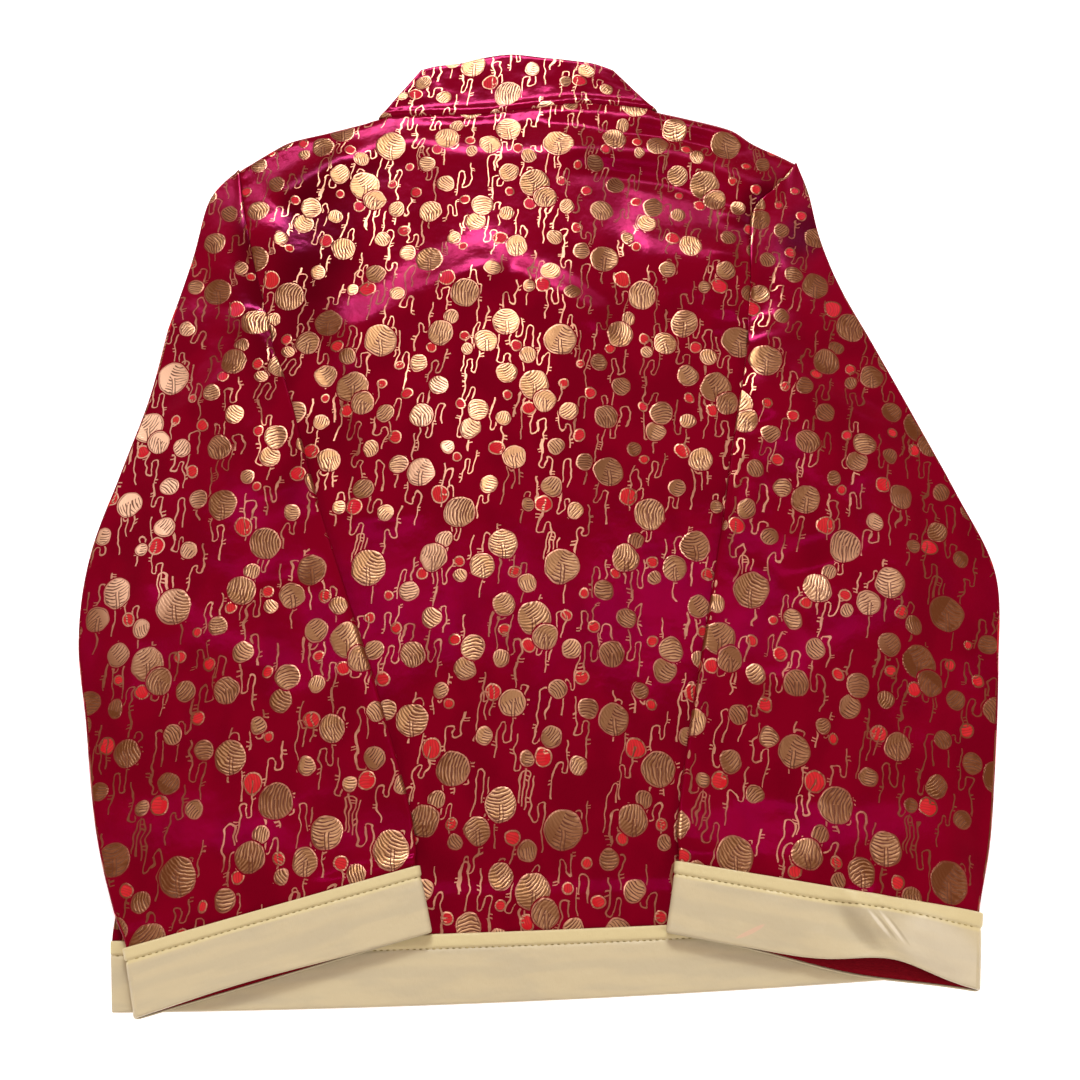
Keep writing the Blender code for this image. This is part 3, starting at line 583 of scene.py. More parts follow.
UNDER_LAP = 1.4  # how far the back's sides reach under the sleeves where these ride up on to it
UNDER_LAP_LENGTH = 9.0
UNDER_LAP_REACH = 5.0
NECK_LAP = 0.9  # how far the back's top reaches under the collar
NECK_LAP_ROWS = 0.08
NECK_END = 6.0  # length at each end of the neck seam over which its form starts
NECK_CURVE = 0.8  # how soon the front neckline falls away from the shoulder


def at_neck(x, outside):
    """1 along the neck seam and 0 past its ends, which lie partly outside the neck's points."""
    start, end = NECK_LEFT[0] - outside, NECK_RIGHT[0] + outside
    return between(x, start, start + NECK_END) * (1.0 - between(x, end - NECK_END, end))


def back_grid(places):
    """Plan points of rows across the back, and how far each is rolled down at the sides."""
    places = np.asarray(places)[:, None]
    row = along(BODY_ROWS, places)
    share = grid_of(BACK_WIDTH, BACK_SPACING)[None, :]
    x = mix(row.left_x, row.right_x, share)
    y = mix(row.left_y, row.right_y, share) + row.sag * 4 * share * (1 - share)
    straight_x = mix(TIPS.left_x, TIPS.right_x, share)
    crown = edge_at(BACK_EDGE, straight_x) - mix(TIPS.left_y, TIPS.right_y, share)
    y = y + crown * np.maximum(0.0, 1.0 - places / UNDERARM_ROW)
    away = np.minimum(share, 1 - share) * (row.right_x - row.left_x)
    y = y + NECK_LAP * at_neck(x, 0.0) * np.clip(1.0 - places / NECK_LAP_ROWS, 0.0, 1.0)
    for hand, fold_y, near in ((-1.0, FOLD.left_y, share < 0.5), (1.0, FOLD.right_y, share > 0.5)):
        above_fold = (y - fold_y - UNDER_LAP_LENGTH) / UNDER_LAP_LENGTH
        lap = UNDER_LAP * np.exp(-(above_fold**2)) * np.clip(1.0 - away / UNDER_LAP_REACH, 0.0, 1.0)
        x = x + hand * lap * near
    return x, y, rolled(away, SIDE_TURN)


def row_places():
    """Places of rows down the body, close together where cloth turns over at the top."""
    reach = np.concatenate([[0.0], np.cumsum(ROW_LENGTHS)])
    total = np.interp(LAST_ROW, np.arange(len(reach)), reach)
    even = np.linspace(EDGE_STEPS[-1], total, int((total - EDGE_STEPS[-1]) / ROW_SPACING))
    return np.interp(np.concatenate([EDGE_STEPS[:-1], even]), reach, np.arange(len(reach)))


def build_back():
    places = row_places()
    x, y, side_roll = back_grid(places)
    down = y[0] - y
    neck = at_neck(x, NECK_END / 2)
    # The shoulders turn over the edge, and the neck edge sinks into the collar's seam
    top_roll = mix(rolled(down, SHOULDER_TURN), rolled(down, NECK_TURN), neck)
    seam = np.minimum(x - body_side(y, "left"), body_side(y, "right") - x)
    armhole = 1.0 - between(places, FOLD_ROW + 0.5, UNDERARM_ROW)[:, None]
    puckers = pucker_height(x, down, NECK_PUCKERS) * neck
    gathers = pucker_height(y, seam, ARMHOLE_PUCKERS) * armhole
    z = back_top(x, y) - np.maximum(top_roll, side_roll) + puckers + gathers
    piece = make_cloth("back_cloth", (x, y, z, x, y), cloth_materials("brocade"), turned=True)
    sew_on(piece, "brocade", "back")


def front_top_edge(x):
    """Front's top edge: the shoulder down to the neck, then the neckline's curve."""
    neck_x = np.where(x < FRONT_NECK[0], NECK_LEFT[0], NECK_RIGHT[0])
    neck_y = np.where(x < FRONT_NECK[0], NECK_LEFT[1], NECK_RIGHT[1])
    inside = np.clip((x - neck_x) / (FRONT_NECK[0] - neck_x), 0.0, 1.0)
    curve = mix(neck_y, FRONT_NECK[1], np.sin(math.pi / 2 * inside) ** NECK_CURVE)
    return np.where(inside <= 0.0, edge_at(BACK_EDGE, x), curve)


def front_grid(side, places, share):
    """Plan points of rows across one front, from its side to the centre front."""
    place = np.asarray(places, float)[:, None]
    row = along(BODY_ROWS, place)
    inwards = INSET if side == "left" else -INSET
    side_x, side_y = getattr(row, side + "_x") + inwards, getattr(row, side + "_y")
    level = mix(row.left_y, row.right_y, 0.5) + row.sag
    y = mix(side_y, level, share) + INSET * between(place, HEM_TOP_ROW - 2, HEM_ROW)
    meet = centre_front(y) + (-0.5 if side == "left" else 0.5) * SEAM_GAP
    x = mix(side_x, meet, share)
    tip_x, tip_y = getattr(TIPS, side + "_x"), getattr(TIPS, side + "_y")
    top = front_top_edge(mix(tip_x, FRONT_NECK[0], share)) - INSET
    middle_y = mix(TIPS.left_y, TIPS.right_y, 0.5)
    y = y + (top - mix(tip_y, middle_y, share)) * np.maximum(0.0, 1.0 - place / UNDERARM_ROW)
    return x, y


def front_shares():
    return grid_of(FRONT_WIDTH, FRONT_SPACING)[None, :]


def build_fronts():
    places = row_places()
    for side in ("left", "right"):
        x, y = front_grid(side, places, front_shares())
        name = f"front_{side}_cloth"
        grids = (x, y, front_low(x, y), -x, y)
        piece = make_cloth(name, grids, cloth_materials("brocade"), turned=side == "right")
        sew_on(piece, "brocade", "front_" + side)


# --- Cream bands: a folded strip at the top, topstitched, over a smooth band ---

STRIP = 5.5  # height of the folded strip
STITCH_LINE = 6.1  # distance of the stitches from the band's top edge
BAND_HEIGHT = 28.5
CUFF_HEIGHT = 30.0
BAND_STEPS = [0.0, 0.2, 0.5, 0.9, 1.5, 2.6, 3.9, 4.9, 5.4, 5.8, 6.1, 6.4, 6.8, 7.4, 8.4]
BAND_LOW_STEPS = [3.4, 2.4, 1.6, 1.0, 0.5, 0.2, 0.0]  # distances of the last rows from the fold
BAND_MIDDLE_ROWS = 15
STRIP_HEIGHT = 0.40
STRIP_SOFT = 0.5  # half the width over which the strip's lower edge steps down
GROOVE = Turn(0.55, 0.34)  # the stitches' groove, to each side and down
BAND_WAVE = Puckers(0.07, 2 * math.pi * 5.2, 0.9, 31.0, None)  # soft waves down the plain part
BAND_WAVE_START = (8.0, 13.0)


def band_distances(height):
    """Distances of a band's rows from its top edge, close at its edges and stitches."""
    low = height - np.array(BAND_LOW_STEPS)
    even = np.linspace(BAND_STEPS[-1], low[0], BAND_MIDDLE_ROWS)
    return np.concatenate([BAND_STEPS[:-1], even[:-1], low])


def band_profile(down, along_band, height):
    """Height of a band over what it is sewn on, and its puckers along the stitches."""
    from_stitches = down - STITCH_LINE
    strip = STRIP_HEIGHT * (1.0 - between(down, STRIP - STRIP_SOFT, STRIP + STRIP_SOFT))
    groove = GROOVE.drop * np.exp(-((from_stitches / GROOVE.reach) ** 2))
    sway = BAND_WAVE.sway * np.sin(along_band / BAND_WAVE.sway_length)
    wave = BAND_WAVE.height * np.sin(down * 2 * math.pi / BAND_WAVE.pitch + sway)
    wave = wave * between(down, *BAND_WAVE_START)
    turned_in = rolled(down, BAND_TOP_TURN) + rolled(height - down, BAND_LOW_TURN)
    return strip - groove + pucker_height(along_band, from_stitches, BAND_PUCKERS) + wave - turned_in


def band_grid(side=None):
    """Rows of a hem band: plan points, distance down and distance along."""
    down = band_distances(BAND_HEIGHT)[:, None]
    places = mix(HEM_TOP_ROW, HEM_ROW, down[:, 0] / BAND_HEIGHT)
    if side is None:
        x, y, side_roll = back_grid(places)
    else:
        x, y = front_grid(side, places, front_shares())
        side_roll = 0.0
    return x, y, down, side_roll


def build_hem():
    x, y, down, side_roll = band_grid()
    z = back_top(x, y) + BAND_STEP + band_profile(down, x, BAND_HEIGHT) - side_roll
    grids = (x, y, z, x, BAND_HEIGHT - down + 0 * x)
    back = make_cloth("hem_back_band", grids, cloth_materials("cream"), turned=True)
    sew_on(back, "cream_satin", "hem_back")
    for side in ("left", "right"):
        x, y, down, side_roll = band_grid(side)
        z = front_low(x, y) - BAND_STEP - np.minimum(0.0, band_profile(down, x, BAND_HEIGHT))
        grids = (x, y, z, -x, BAND_HEIGHT - down + 0 * x)
        name = f"hem_front_{side}_band"
        piece = make_cloth(name, grids, cloth_materials("cream"), turned=side == "right")
        sew_on(piece, "cream_satin", "hem_front_" + side)


# --- Sleeves and cuffs ---

SLEEVE_WIDTH = 130.0  # width and spacing of the grids' columns, and their first steps
SLEEVE_SPACING = 2.3
SLEEVE_EDGE_STEPS = [0.0, 0.8, 1.8]
FOLD_COLUMNS = 7  # columns round each rounded fold of a sleeve
FOLD_CLOTH = 4.0  # cloth that goes round each fold
EDGE_FOLD = 0.3  # share of the creases' height, squared, that is left at the folded edges
SLEEVE_GRAIN = {"left": 7.0, "right": -7.0}  # how far the cloth's own up leans, in degrees
BOW_ROWS = 3.0  # rows over which a sleeve's rings lose the bow of the armhole seam
FREE_ROWS = 2.0  # rows over which a sleeve comes free of the body's form
CUFF_CLIMB = (CUFF_TOP_ROW - 0.9, CUFF_TOP_ROW - 0.15)  # rows over which it reaches the cuff's level
CUFF_FLAT = 0.7  # share of the sleeve's puff that is pressed flat in the cuff
TUCK_ROWS = 0.06  # rows over which its seam edge is tucked up to the armhole
LAST_SLEEVE_ROW = CUFF_ROW - 0.05
CUFF_CLOTH = 400.0  # where the cuffs' cloth lies on the cream satin, along from the hem's


def seam_bow(side, share):
    """How far the armhole seam bows away from the straight line between its two ends."""
    row = along(BODY_ROWS[: FOLD_ROW + 1], share * FOLD_ROW)
    x, y = getattr(row, side + "_x"), getattr(row, side + "_y")
    tip_x, tip_y = getattr(TIPS, side + "_x"), getattr(TIPS, side + "_y")
    low_x, low_y = getattr(FOLD, side + "_x"), getattr(FOLD, side + "_y")
    return x - mix(tip_x, low_x, share), y - mix(tip_y, low_y, share)


def mouth_shift(mouth, share, depth):
    """How far a layer of a cuff's mouth is pushed up the sleeve, and how high it lifts."""
    if mouth is None:
        return 0.0, 0.0
    amount = np.exp(-(((share - mouth.place) / mouth.width) ** 2)) * depth
    return mouth.back * amount, mouth.lift * amount


def sleeve_travel(side):
    """Distance along a sleeve's middle at each row of its table."""
    table = np.array(SLEEVE_RINGS[side])
    middle = (table[:, :2] + table[:, 2:]) / 2
    steps = np.hypot(*np.diff(middle, axis=0).T)
    return np.concatenate([[0.0], np.cumsum(steps)])


def sleeve_places(side):
    travel = sleeve_travel(side)
    total = np.interp(LAST_SLEEVE_ROW, np.arange(len(travel)), travel)
    even = np.linspace(EDGE_STEPS[-1], total, int(total / SLEEVE_SPACING))
    return np.interp(np.concatenate([EDGE_STEPS[:-1], even]), travel, np.arange(len(travel)))


def sleeve_layer(side, place, share, upper):
    """Plan point and height of one layer of a flat sleeve."""
    ring = along(SLEEVE_RINGS[side], place)
    across_x, across_y = ring.inner_x - ring.outer_x, ring.inner_y - ring.outer_y
    width = np.hypot(across_x, across_y)
    hand = 1.0 if side == "left" else -1.0
    up_x, up_y = -hand * across_y / width, hand * across_x / width
    near_seam = (1.0 - np.minimum(place / BOW_ROWS, 1.0)) ** 2
    in_cuff = between(place, *CUFF_CLIMB)
    free = between(place, 0.0, FREE_ROWS)
    depth = np.maximum(0.0, place - CUFF_TOP_ROW)
    bow_x, bow_y = seam_bow(side, share)
    tuck = SEAM_GAP * np.clip(1.0 - place / TUCK_ROWS, 0.0, 1.0)
    push, lift = mouth_shift((MOUTH_UPPER if upper else MOUTH_LOWER)[side], share, depth)
    x = ring.outer_x + across_x * share + bow_x * near_seam + up_x * (push + tuck)
    y = ring.outer_y + across_y * share + bow_y * near_seam + up_y * (push + tuck)
    z = support(x, y, side) + BAND_STEP * in_cuff
    if upper:
        piece = "sleeve_" + side
        air = SLEEVE_PUFF * free * (1.0 - CUFF_FLAT * in_cuff) * np.sin(math.pi * np.clip(share, 0.0, 1.0))
        edge = np.sqrt(np.clip(4 * share * (1 - share), EDGE_FOLD, 1.0))
        creases = (crease_height(piece, x, y) + unevenness(x, y, SLEEVE_LUMPS)) * edge
        folds = (fold_height(piece, x, y) + creases) * free * (1 - in_cuff)
        folds = folds + back_relief(x, y) * (1.0 - free) * (1.0 - carried(y, side))
        folds = folds + crease_height("cuff_" + side, x, y) * in_cuff
        z = z + 2 * FRAME_WALL + LAYER_GAP + air + lift + folds
    return x, y, z


def sleeve_grid(side, places, shape):
    """Rings round a flat sleeve: its upper layer, a fold, its lower layer and a fold.

    shape tells how far each ring stands out from the sleeve at a place along its cloth.
    Two more grids hold the cloth's u and v, a column longer.
    """
    place = np.asarray(places, float)[:, None]
    ring = along(SLEEVE_RINGS[side], place)
    width = np.hypot(ring.inner_x - ring.outer_x, ring.inner_y - ring.outer_y)
    inset = (FRAME_WALL + LAYER_GAP / 2) / width
    even = grid_of(SLEEVE_WIDTH, SLEEVE_SPACING, SLEEVE_EDGE_STEPS)[None, :]
    share = inset + (1 - 2 * inset) * even
    up_x, up_y, up_z = sleeve_layer(side, place, share, True)
    low_x, low_y, low_z = sleeve_layer(side, place, share[:, ::-1], False)
    turn = math.radians(SLEEVE_GRAIN[side])

    def cloth_uv(x, y):
        return x * math.cos(turn) + y * math.sin(turn), y * math.cos(turn) - x * math.sin(turn)

    up_u, up_v = cloth_uv(up_x, up_y)
    low_u = 2 * up_u[:, -1:] - up_u[:, ::-1]
    low_v = 2 * up_v[:, -1:] - up_v[:, ::-1]
    up_z = up_z + shape(place, up_u)
    low_z = low_z - shape(place, low_u)
    across = ((ring.inner_x - ring.outer_x) / width, (ring.inner_y - ring.outer_y) / width)
    angle = np.linspace(0.0, math.pi, FOLD_COLUMNS + 2)[None, 1:-1]

    def fold(start, end, hand):
        radius = np.abs(start[2] - end[2]) / 2
        share_round = (1 - np.cos(angle)) / 2
        reach = hand * radius * np.sin(angle)
        x = mix(start[0], end[0], share_round) + across[0] * reach
        y = mix(start[1], end[1], share_round) + across[1] * reach
        return x, y, mix(start[2], end[2], share_round)

    def column(layer, number):
        return [grid[:, [number]] for grid in layer]

    upper, lower = (up_x, up_y, up_z), (low_x, low_y, low_z)
    inner = fold(column(upper, -1), column(lower, 0), 1.0)
    outer = fold(column(lower, -1), column(upper, 0), -1.0)
    grids = [np.concatenate(parts, 1) for parts in zip(upper, inner, lower, outer)]
    steps = np.linspace(0.0, 1.0, FOLD_COLUMNS + 2)[None, 1:-1] * FOLD_CLOTH
    low_u = low_u + FOLD_CLOTH
    u = np.concatenate([up_u, up_u[:, -1:] + steps, low_u, low_u[:, -1:] + steps], 1)
    v = np.concatenate([up_v, up_v[:, -1:] + 0 * steps, low_v, low_v[:, -1:] + 0 * steps], 1)
    u = np.concatenate([u, u[:, -1:] + steps[:, :1]], 1)
    v = np.concatenate([v, v[:, -1:]], 1)
    return [*grids, u, v]


def build_sleeves():
    for side in ("left", "right"):
        places = sleeve_places(side)
        travel = np.interp(places, np.arange(CUFF_ROW + 1), sleeve_travel(side))[:, None]

        def seam(place, u, travel=travel):
            return pucker_height(u, travel, SLEEVE_PUCKERS) - rolled(travel, SIDE_TURN)

        grids = sleeve_grid(side, places, seam)
        name = f"sleeve_{side}_cloth"
        piece = make_cloth(name, grids, cloth_materials("brocade"), around=True, turned=side == "left")
        sew_on(piece, "brocade", "sleeve_" + side)


def cuff_rows():
    return CUFF_TOP_ROW + band_distances(CUFF_HEIGHT) / CUFF_HEIGHT


def cuff_shape(place, u):
    down = (place - CUFF_TOP_ROW) * CUFF_HEIGHT
    return BAND_STEP + band_profile(down, u, CUFF_HEIGHT)


def build_cuffs():
    places = cuff_rows()
    for side in ("left", "right"):
        x, y, z, u, v = sleeve_grid(side, places, cuff_shape)
        height = (CUFF_ROW - places[:, None]) * CUFF_HEIGHT
        grids = (x, y, z, u + CUFF_CLOTH, height + 0 * u)
        name = f"cuff_{side}_band"
        piece = make_cloth(name, grids, cloth_materials("cream"), around=True, turned=side == "left")
        sew_on(piece, "cream_satin", "cuff_" + side)


# --- Collar ---

COLLAR_STATIONS = 75  # columns along its back
COLLAR_FRONT_STATIONS = 40  # and along each half of its front
COLLAR_FOLD_STEPS = 9
COLLAR_FRONT_START = 0.497  # where the neckline starts, as a share of a front's top edge
COLLAR_HEIGHT = 38.0  # height and spacing of its rows, and their first steps
COLLAR_SPACING = 1.6
COLLAR_EDGE_STEPS = [0.0, 0.2, 0.5, 0.9, 1.5]
COLLAR_WALL = 1.1
COLLAR_STAND = 2.8  # how far the collar's top edge stands up from the surface
COLLAR_BACK_LEVEL = (1.0, 2.4)  # heights between which its form passes from front to back
COLLAR_RIDGE = Lumps(0.5, 2.2, None)  # over the seam allowances, this far above the seam
COLLAR_RIDGE_UP = 3.4
COLLAR_PUCKERS_UP = 2.2
COLLAR_UNEVEN_START = 8.0


def collar_stations():
    """Seam, top and height of the collar's right side, round the neck from front to front."""
    low, high = 0.0, FRAME_WALL * 2 + LAYER_GAP
    radius = (high - low) / 2
    share = np.linspace(0.0, 1.0, COLLAR_STATIONS)
    seam_x = mix(NECK_LEFT[0], NECK_RIGHT[0], share)
    top_x = mix(COLLAR_TOP[0].x, COLLAR_TOP[-1].x, share)
    seam_y = edge_at(BACK_EDGE, seam_x) + SEAM_GAP
    back = np.stack([seam_x, seam_y, top_x, edge_at(COLLAR_EDGE, top_x), np.full(len(share), high)], 1)

    def half_front(side):
        shares = np.linspace(COLLAR_FRONT_START, 1.0, COLLAR_FRONT_STATIONS)[None, :]
        seam_x, seam_y = front_grid(side, [0.0], shares)
        seam_x, seam_y = seam_x[0], seam_y[0]
        top_fold = COLLAR_TOP[0] if side == "left" else COLLAR_TOP[-1]
        part = (shares[0] - shares[0, 0]) / (1 - shares[0, 0])
        past = np.maximum(0.0, part - COLLAR_CORNER_START) / (1 - COLLAR_CORNER_START)
        drop = COLLAR_CORNER * (1 - np.sqrt(1 - past**2))
        top_y = mix(top_fold.y, FRONT_NECK[1] + COLLAR_FRONT_HEIGHT, np.sin(math.pi / 2 * part)) - drop
        top_x = mix(top_fold.x, seam_x[-1], part)
        levels = np.full(len(part), low)
        return np.stack([seam_x, seam_y + INSET + SEAM_GAP, top_x, top_y, levels], 1)[1:]

    def fold(station, reach, start, end):
        angle = np.linspace(0.0, math.pi, COLLAR_FOLD_STEPS)
        rows = np.repeat(station[None, :], COLLAR_FOLD_STEPS, 0)
        rows[:, 0] += reach * np.sin(angle)
        rows[:, 2] += reach * np.sin(angle)
        rows[:, 4] = mix(start, end, (1 - np.cos(angle)) / 2)
        return rows

    left_fold = fold(back[0], -radius, low, high)
    right_fold = fold(back[-1], radius, high, low)
    return np.concatenate([half_front("left")[::-1], left_fold, back[1:-1], right_fold, half_front("right")])


def build_collar():
    stations = collar_stations()
    seam_x, seam_y, top_x, top_y, level = (stations[:, [column]] for column in range(5))
    height = np.hypot(top_x - seam_x, top_y - seam_y)
    share = grid_of(COLLAR_HEIGHT, COLLAR_SPACING, COLLAR_EDGE_STEPS)[None, :]
    x, y = mix(seam_x, top_x, share), mix(seam_y, top_y, share)
    up = share * height
    ridge = COLLAR_RIDGE.height * np.exp(-(((up - COLLAR_RIDGE_UP) / COLLAR_RIDGE.size) ** 2))
    puckers = pucker_height(x, up - COLLAR_PUCKERS_UP, COLLAR_PUCKERS)
    uneven = unevenness(x, y, COLLAR_LUMPS) * between(up, 0.0, COLLAR_UNEVEN_START)
    roll = rolled(up, COLLAR_SEAM_TURN) + rolled(height - up, COLLAR_TOP_TURN)
    form = fold_height("back", x, y) + ridge + puckers + COLLAR_STAND * share + uneven - roll
    z = level + between(level, *COLLAR_BACK_LEVEL) * form
    steps = np.diff((stations[:, :2] + stations[:, 2:4]) / 2, axis=0)
    middle = np.concatenate([[0.0], np.cumsum(np.hypot(*steps.T))])[:, None]
    hand = level / level.max() * 2 - 1
    grids = (x, y, z, middle + hand * (x - (seam_x + top_x) / 2), up + 0 * x)
    piece = make_cloth("collar_cloth", grids, cloth_materials("brocade"), turned=True, wall=COLLAR_WALL)
    sew_on(piece, "brocade", "collar")


# --- Stitches ---

STITCH_PITCH = 2.8
STITCH = (1.8, 0.46, 0.40)  # length, width and height
STITCH_BEND = 0.22  # how far its ends dip
STITCH_LIFT = 0.12
STITCH_LEAN = 0.05
STITCH_SEED = 5


def even_points(line, lift, pitch):
    """Points at even steps along a line, with the direction along it and away from the cloth."""
    steps = np.linalg.norm(np.diff(line, axis=0), axis=1)
    reach = np.concatenate([[0.0], np.cumsum(steps)])
    at = np.arange(pitch, reach[-1] - pitch / 2, pitch)

    def read(points, at):
        return np.stack([np.interp(at, reach, points[:, axis]) for axis in range(3)], 1)

    middle = read(line, at)
    along_line = read(line, at + 0.4) - read(line, at - 0.4)
    along_line /= np.linalg.norm(along_line, axis=1)[:, None]
    away = read(lift, at) - middle
    away -= along_line * np.sum(away * along_line, 1)[:, None]
    away /= np.linalg.norm(away, axis=1)[:, None]
    return middle, along_line, away


def stitch_pattern():
    """One stitch, modelled from a sphere: its points in units of the stitch, and its faces."""
    bpy.ops.object.select_all(action="DESELECT")
    bpy.ops.mesh.primitive_uv_sphere_add(segments=8, ring_count=6, radius=0.5)
    pattern = bpy.context.object
    bpy.ops.object.mode_set(mode="EDIT")
    bpy.ops.mesh.select_all(action="SELECT")
    bpy.ops.transform.rotate(value=math.pi / 2, orient_axis="Y", center_override=(0.0, 0.0, 0.0))
    bpy.ops.object.mode_set(mode="OBJECT")
    points = np.array([vertex.co[:] for vertex in pattern.data.vertices])
    faces = [list(face.vertices) for face in pattern.data.polygons]
    bpy.data.objects.remove(pattern)
    return points, faces


def sew_line(name, line, lift):
    """A row of stitches in one mesh, lying in the groove of a band."""
    points, faces = stitch_pattern()
    middle, along_line, away = even_points(line, lift, STITCH_PITCH)
    across = np.cross(away, along_line)
    lean = np.random.default_rng(STITCH_SEED).normal(0.0, STITCH_LEAN, len(middle))[:, None]
    along_line = along_line + across * lean
    bent = points * np.array(STITCH)
    bent[:, 2] += STITCH_LIFT - STITCH_BEND * (2 * points[:, 0]) ** 2
    copies = (
        middle[:, None]
        + bent[None, :, :1] * along_line[:, None]
        + bent[None, :, 1:2] * across[:, None]
        + bent[None, :, 2:] * away[:, None]
    )
    count = len(points)
    all_faces = [[corner + copy * count for corner in face] for copy in range(len(middle)) for face in faces]
    spread = place_points(copies[..., 0], copies[..., 1], copies[..., 2])
    piece = make_mesh_piece(name, spread, all_faces, ["olive_thread"])
    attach(piece, "root")


def build_stitches():
    line_place = HEM_TOP_ROW + (HEM_ROW - HEM_TOP_ROW) * STITCH_LINE / BAND_HEIGHT
    x, y, _ = back_grid([line_place])
    z = back_top(x, y) + BAND_STEP + band_profile(np.array([[STITCH_LINE]]), x, BAND_HEIGHT)
    line = np.stack([x[0], y[0], z[0]], 1)
    sew_line("hem_back_stitches", line, line + np.array([0.0, 0.0, 1.0]))
    for side in ("left", "right"):
        x, y = front_grid(side, [line_place], front_shares())
        z = front_low(x, y) - BAND_STEP - band_profile(np.array([[STITCH_LINE]]), x, BAND_HEIGHT)
        line = np.stack([x[0], y[0], z[0]], 1)
        sew_line(f"hem_front_{side}_stitches", line, line - np.array([0.0, 0.0, 1.0]))
    place = [CUFF_TOP_ROW + STITCH_LINE / CUFF_HEIGHT]
    for side in ("left", "right"):
        low = sleeve_grid(side, place, cuff_shape)[:3]
        high = sleeve_grid(side, place, lambda place, u: cuff_shape(place, u) + 0.5)[:3]
        line = np.stack([grid[0] for grid in low], 1)
        lift = np.stack([grid[0] for grid in high], 1)
        line, lift = np.concatenate([line, line[:1]]), np.concatenate([lift, lift[:1]])
        sew_line(f"cuff_{side}_stitches", line, lift)


# --- Frog closures ---

CORD = 2.1  # thickness of the frogs' cord
LOOP_WIDTH = 5.0
LOOP_START = 3.6  # distance of each loop's inner end from the knot's middle
KNOT = (8.6, 8.6, 2.2)
KNOT_STRANDS = 4
KNOT_RIDGES = 0.07  # height of its strands, as a share of its width
KNOT_TWIST = 9.0
FROG_LIFT = 0.02


def build_frog(number, row_y):
    """A fastened frog: a long loop of cord on either side of a knot."""
    parts = []
    loop_end = FROG_LENGTH / 2
    for hand in (-1.0, 1.0):
        bpy.ops.object.select_all(action="DESELECT")
        bpy.ops.mesh.primitive_torus_add(
            major_radius=(LOOP_WIDTH - CORD) / 2, minor_radius=CORD / 2, major_segments=28, minor_segments=10
        )
        loop = bpy.context.object
        for vertex in loop.data.vertices:
            outer = hand * vertex.co.x > 0
            reach = loop_end - LOOP_WIDTH / 2 if outer else LOOP_START + LOOP_WIDTH / 2
            vertex.co.x += hand * reach
        parts.append(loop)
    bpy.ops.mesh.primitive_uv_sphere_add(segments=28, ring_count=16, radius=0.5)
    knot = bpy.context.object
    for vertex in knot.data.vertices:
        turn = math.atan2(vertex.co.y, vertex.co.x)
        strand = 1.0 + KNOT_RIDGES * math.cos(KNOT_STRANDS * turn + KNOT_TWIST * vertex.co.z)
        vertex.co.x *= KNOT[0] * strand
        vertex.co.y *= KNOT[1] * strand
        vertex.co.z *= KNOT[2]
    parts.append(knot)
    for part in parts:
        part.select_set(True)
    bpy.context.view_layer.objects.active = knot
    bpy.ops.object.join()
    middle_x = centre_front(row_y)
    for vertex in knot.data.vertices:
        x, y, z = vertex.co
        vertex.co = [
            (x + middle_x - PLAN_CENTRE[0]) * MM,
            (y + row_y - PLAN_CENTRE[1]) * MM,
            (z + FROG_HEIGHT / 2 + FROG_LIFT) * MM,
        ]
    knot.name = knot.data.name = f"frog_{number}_cord"
    knot.data.materials.clear()
    knot.data.materials.append(bpy.data.materials["frog_cord_silk"])
    knot.data.shade_smooth()
    sew_on(knot, "frog_cord", f"frog_{number}")


# --- Nodes ---


class Tree:
    """Adds nodes to one node tree, each linked to what it reads."""

    def __init__(self, tree):
        self.tree = tree

    def add(self, kind, inputs=(), **settings):
        node = self.tree.nodes.new("ShaderNode" + kind)
        for name, value in settings.items():
            setattr(node, name, value)
        for key, value in inputs.items() if isinstance(inputs, dict) else enumerate(inputs):
            if isinstance(value, bpy.types.NodeSocket):
                self.tree.links.new(value, node.inputs[key])
            elif value is not None:
                node.inputs[key].default_value = value
        return node

    def math(self, operation, *values, clamp=False):
        return self.add("Math", values, operation=operation, use_clamp=clamp).outputs[0]

    def vector(self, operation, *values):
        node = self.add("VectorMath", values, operation=operation)
        return node.outputs["Value" if operation in ("LENGTH", "DISTANCE", "DOT_PRODUCT") else "Vector"]

    def scale(self, vector, amount):
        return self.add("VectorMath", {0: vector, "Scale": amount}, operation="SCALE").outputs[0]

    def mix(self, share, a, b, kind="FLOAT"):
        first = {"FLOAT": 2, "VECTOR": 4, "RGBA": 6}[kind]
        node = self.add("Mix", {0: share, first: a, first + 1: b}, data_type=kind)
        return node.outputs[{"FLOAT": 0, "VECTOR": 1, "RGBA": 2}[kind]]

    def ramp(self, value, start, end):
        """0 at start and 1 at end, with soft ends."""
        inputs = {"Value": value, "From Min": start, "From Max": end}
        return self.add("MapRange", inputs, interpolation_type="SMOOTHSTEP").outputs[0]

    def noise(self, vector, scale, detail=2.0, dimensions="2D"):
        inputs = {"Vector": vector, "Scale": scale, "Detail": detail}
        return self.add("TexNoise", inputs, noise_dimensions=dimensions)

    def parts(self, vector):
        return self.add("SeparateXYZ", [vector]).outputs

    def joined(self, x=0.0, y=0.0, z=0.0):
        return self.add("CombineXYZ", [x, y, z]).outputs[0]

    def opposite(self, share):
        return self.math("SUBTRACT", 1.0, share)

    def group(self, name, *values):
        node = self.add("Group")
        node.node_tree = bpy.data.node_groups[name]
        for socket, value in zip(node.inputs, values):
            if isinstance(value, bpy.types.NodeSocket):
                self.tree.links.new(value, socket)
            else:
                socket.default_value = value
        return node.outputs[0]

    def link(self, value, socket):
        self.tree.links.new(value, socket)


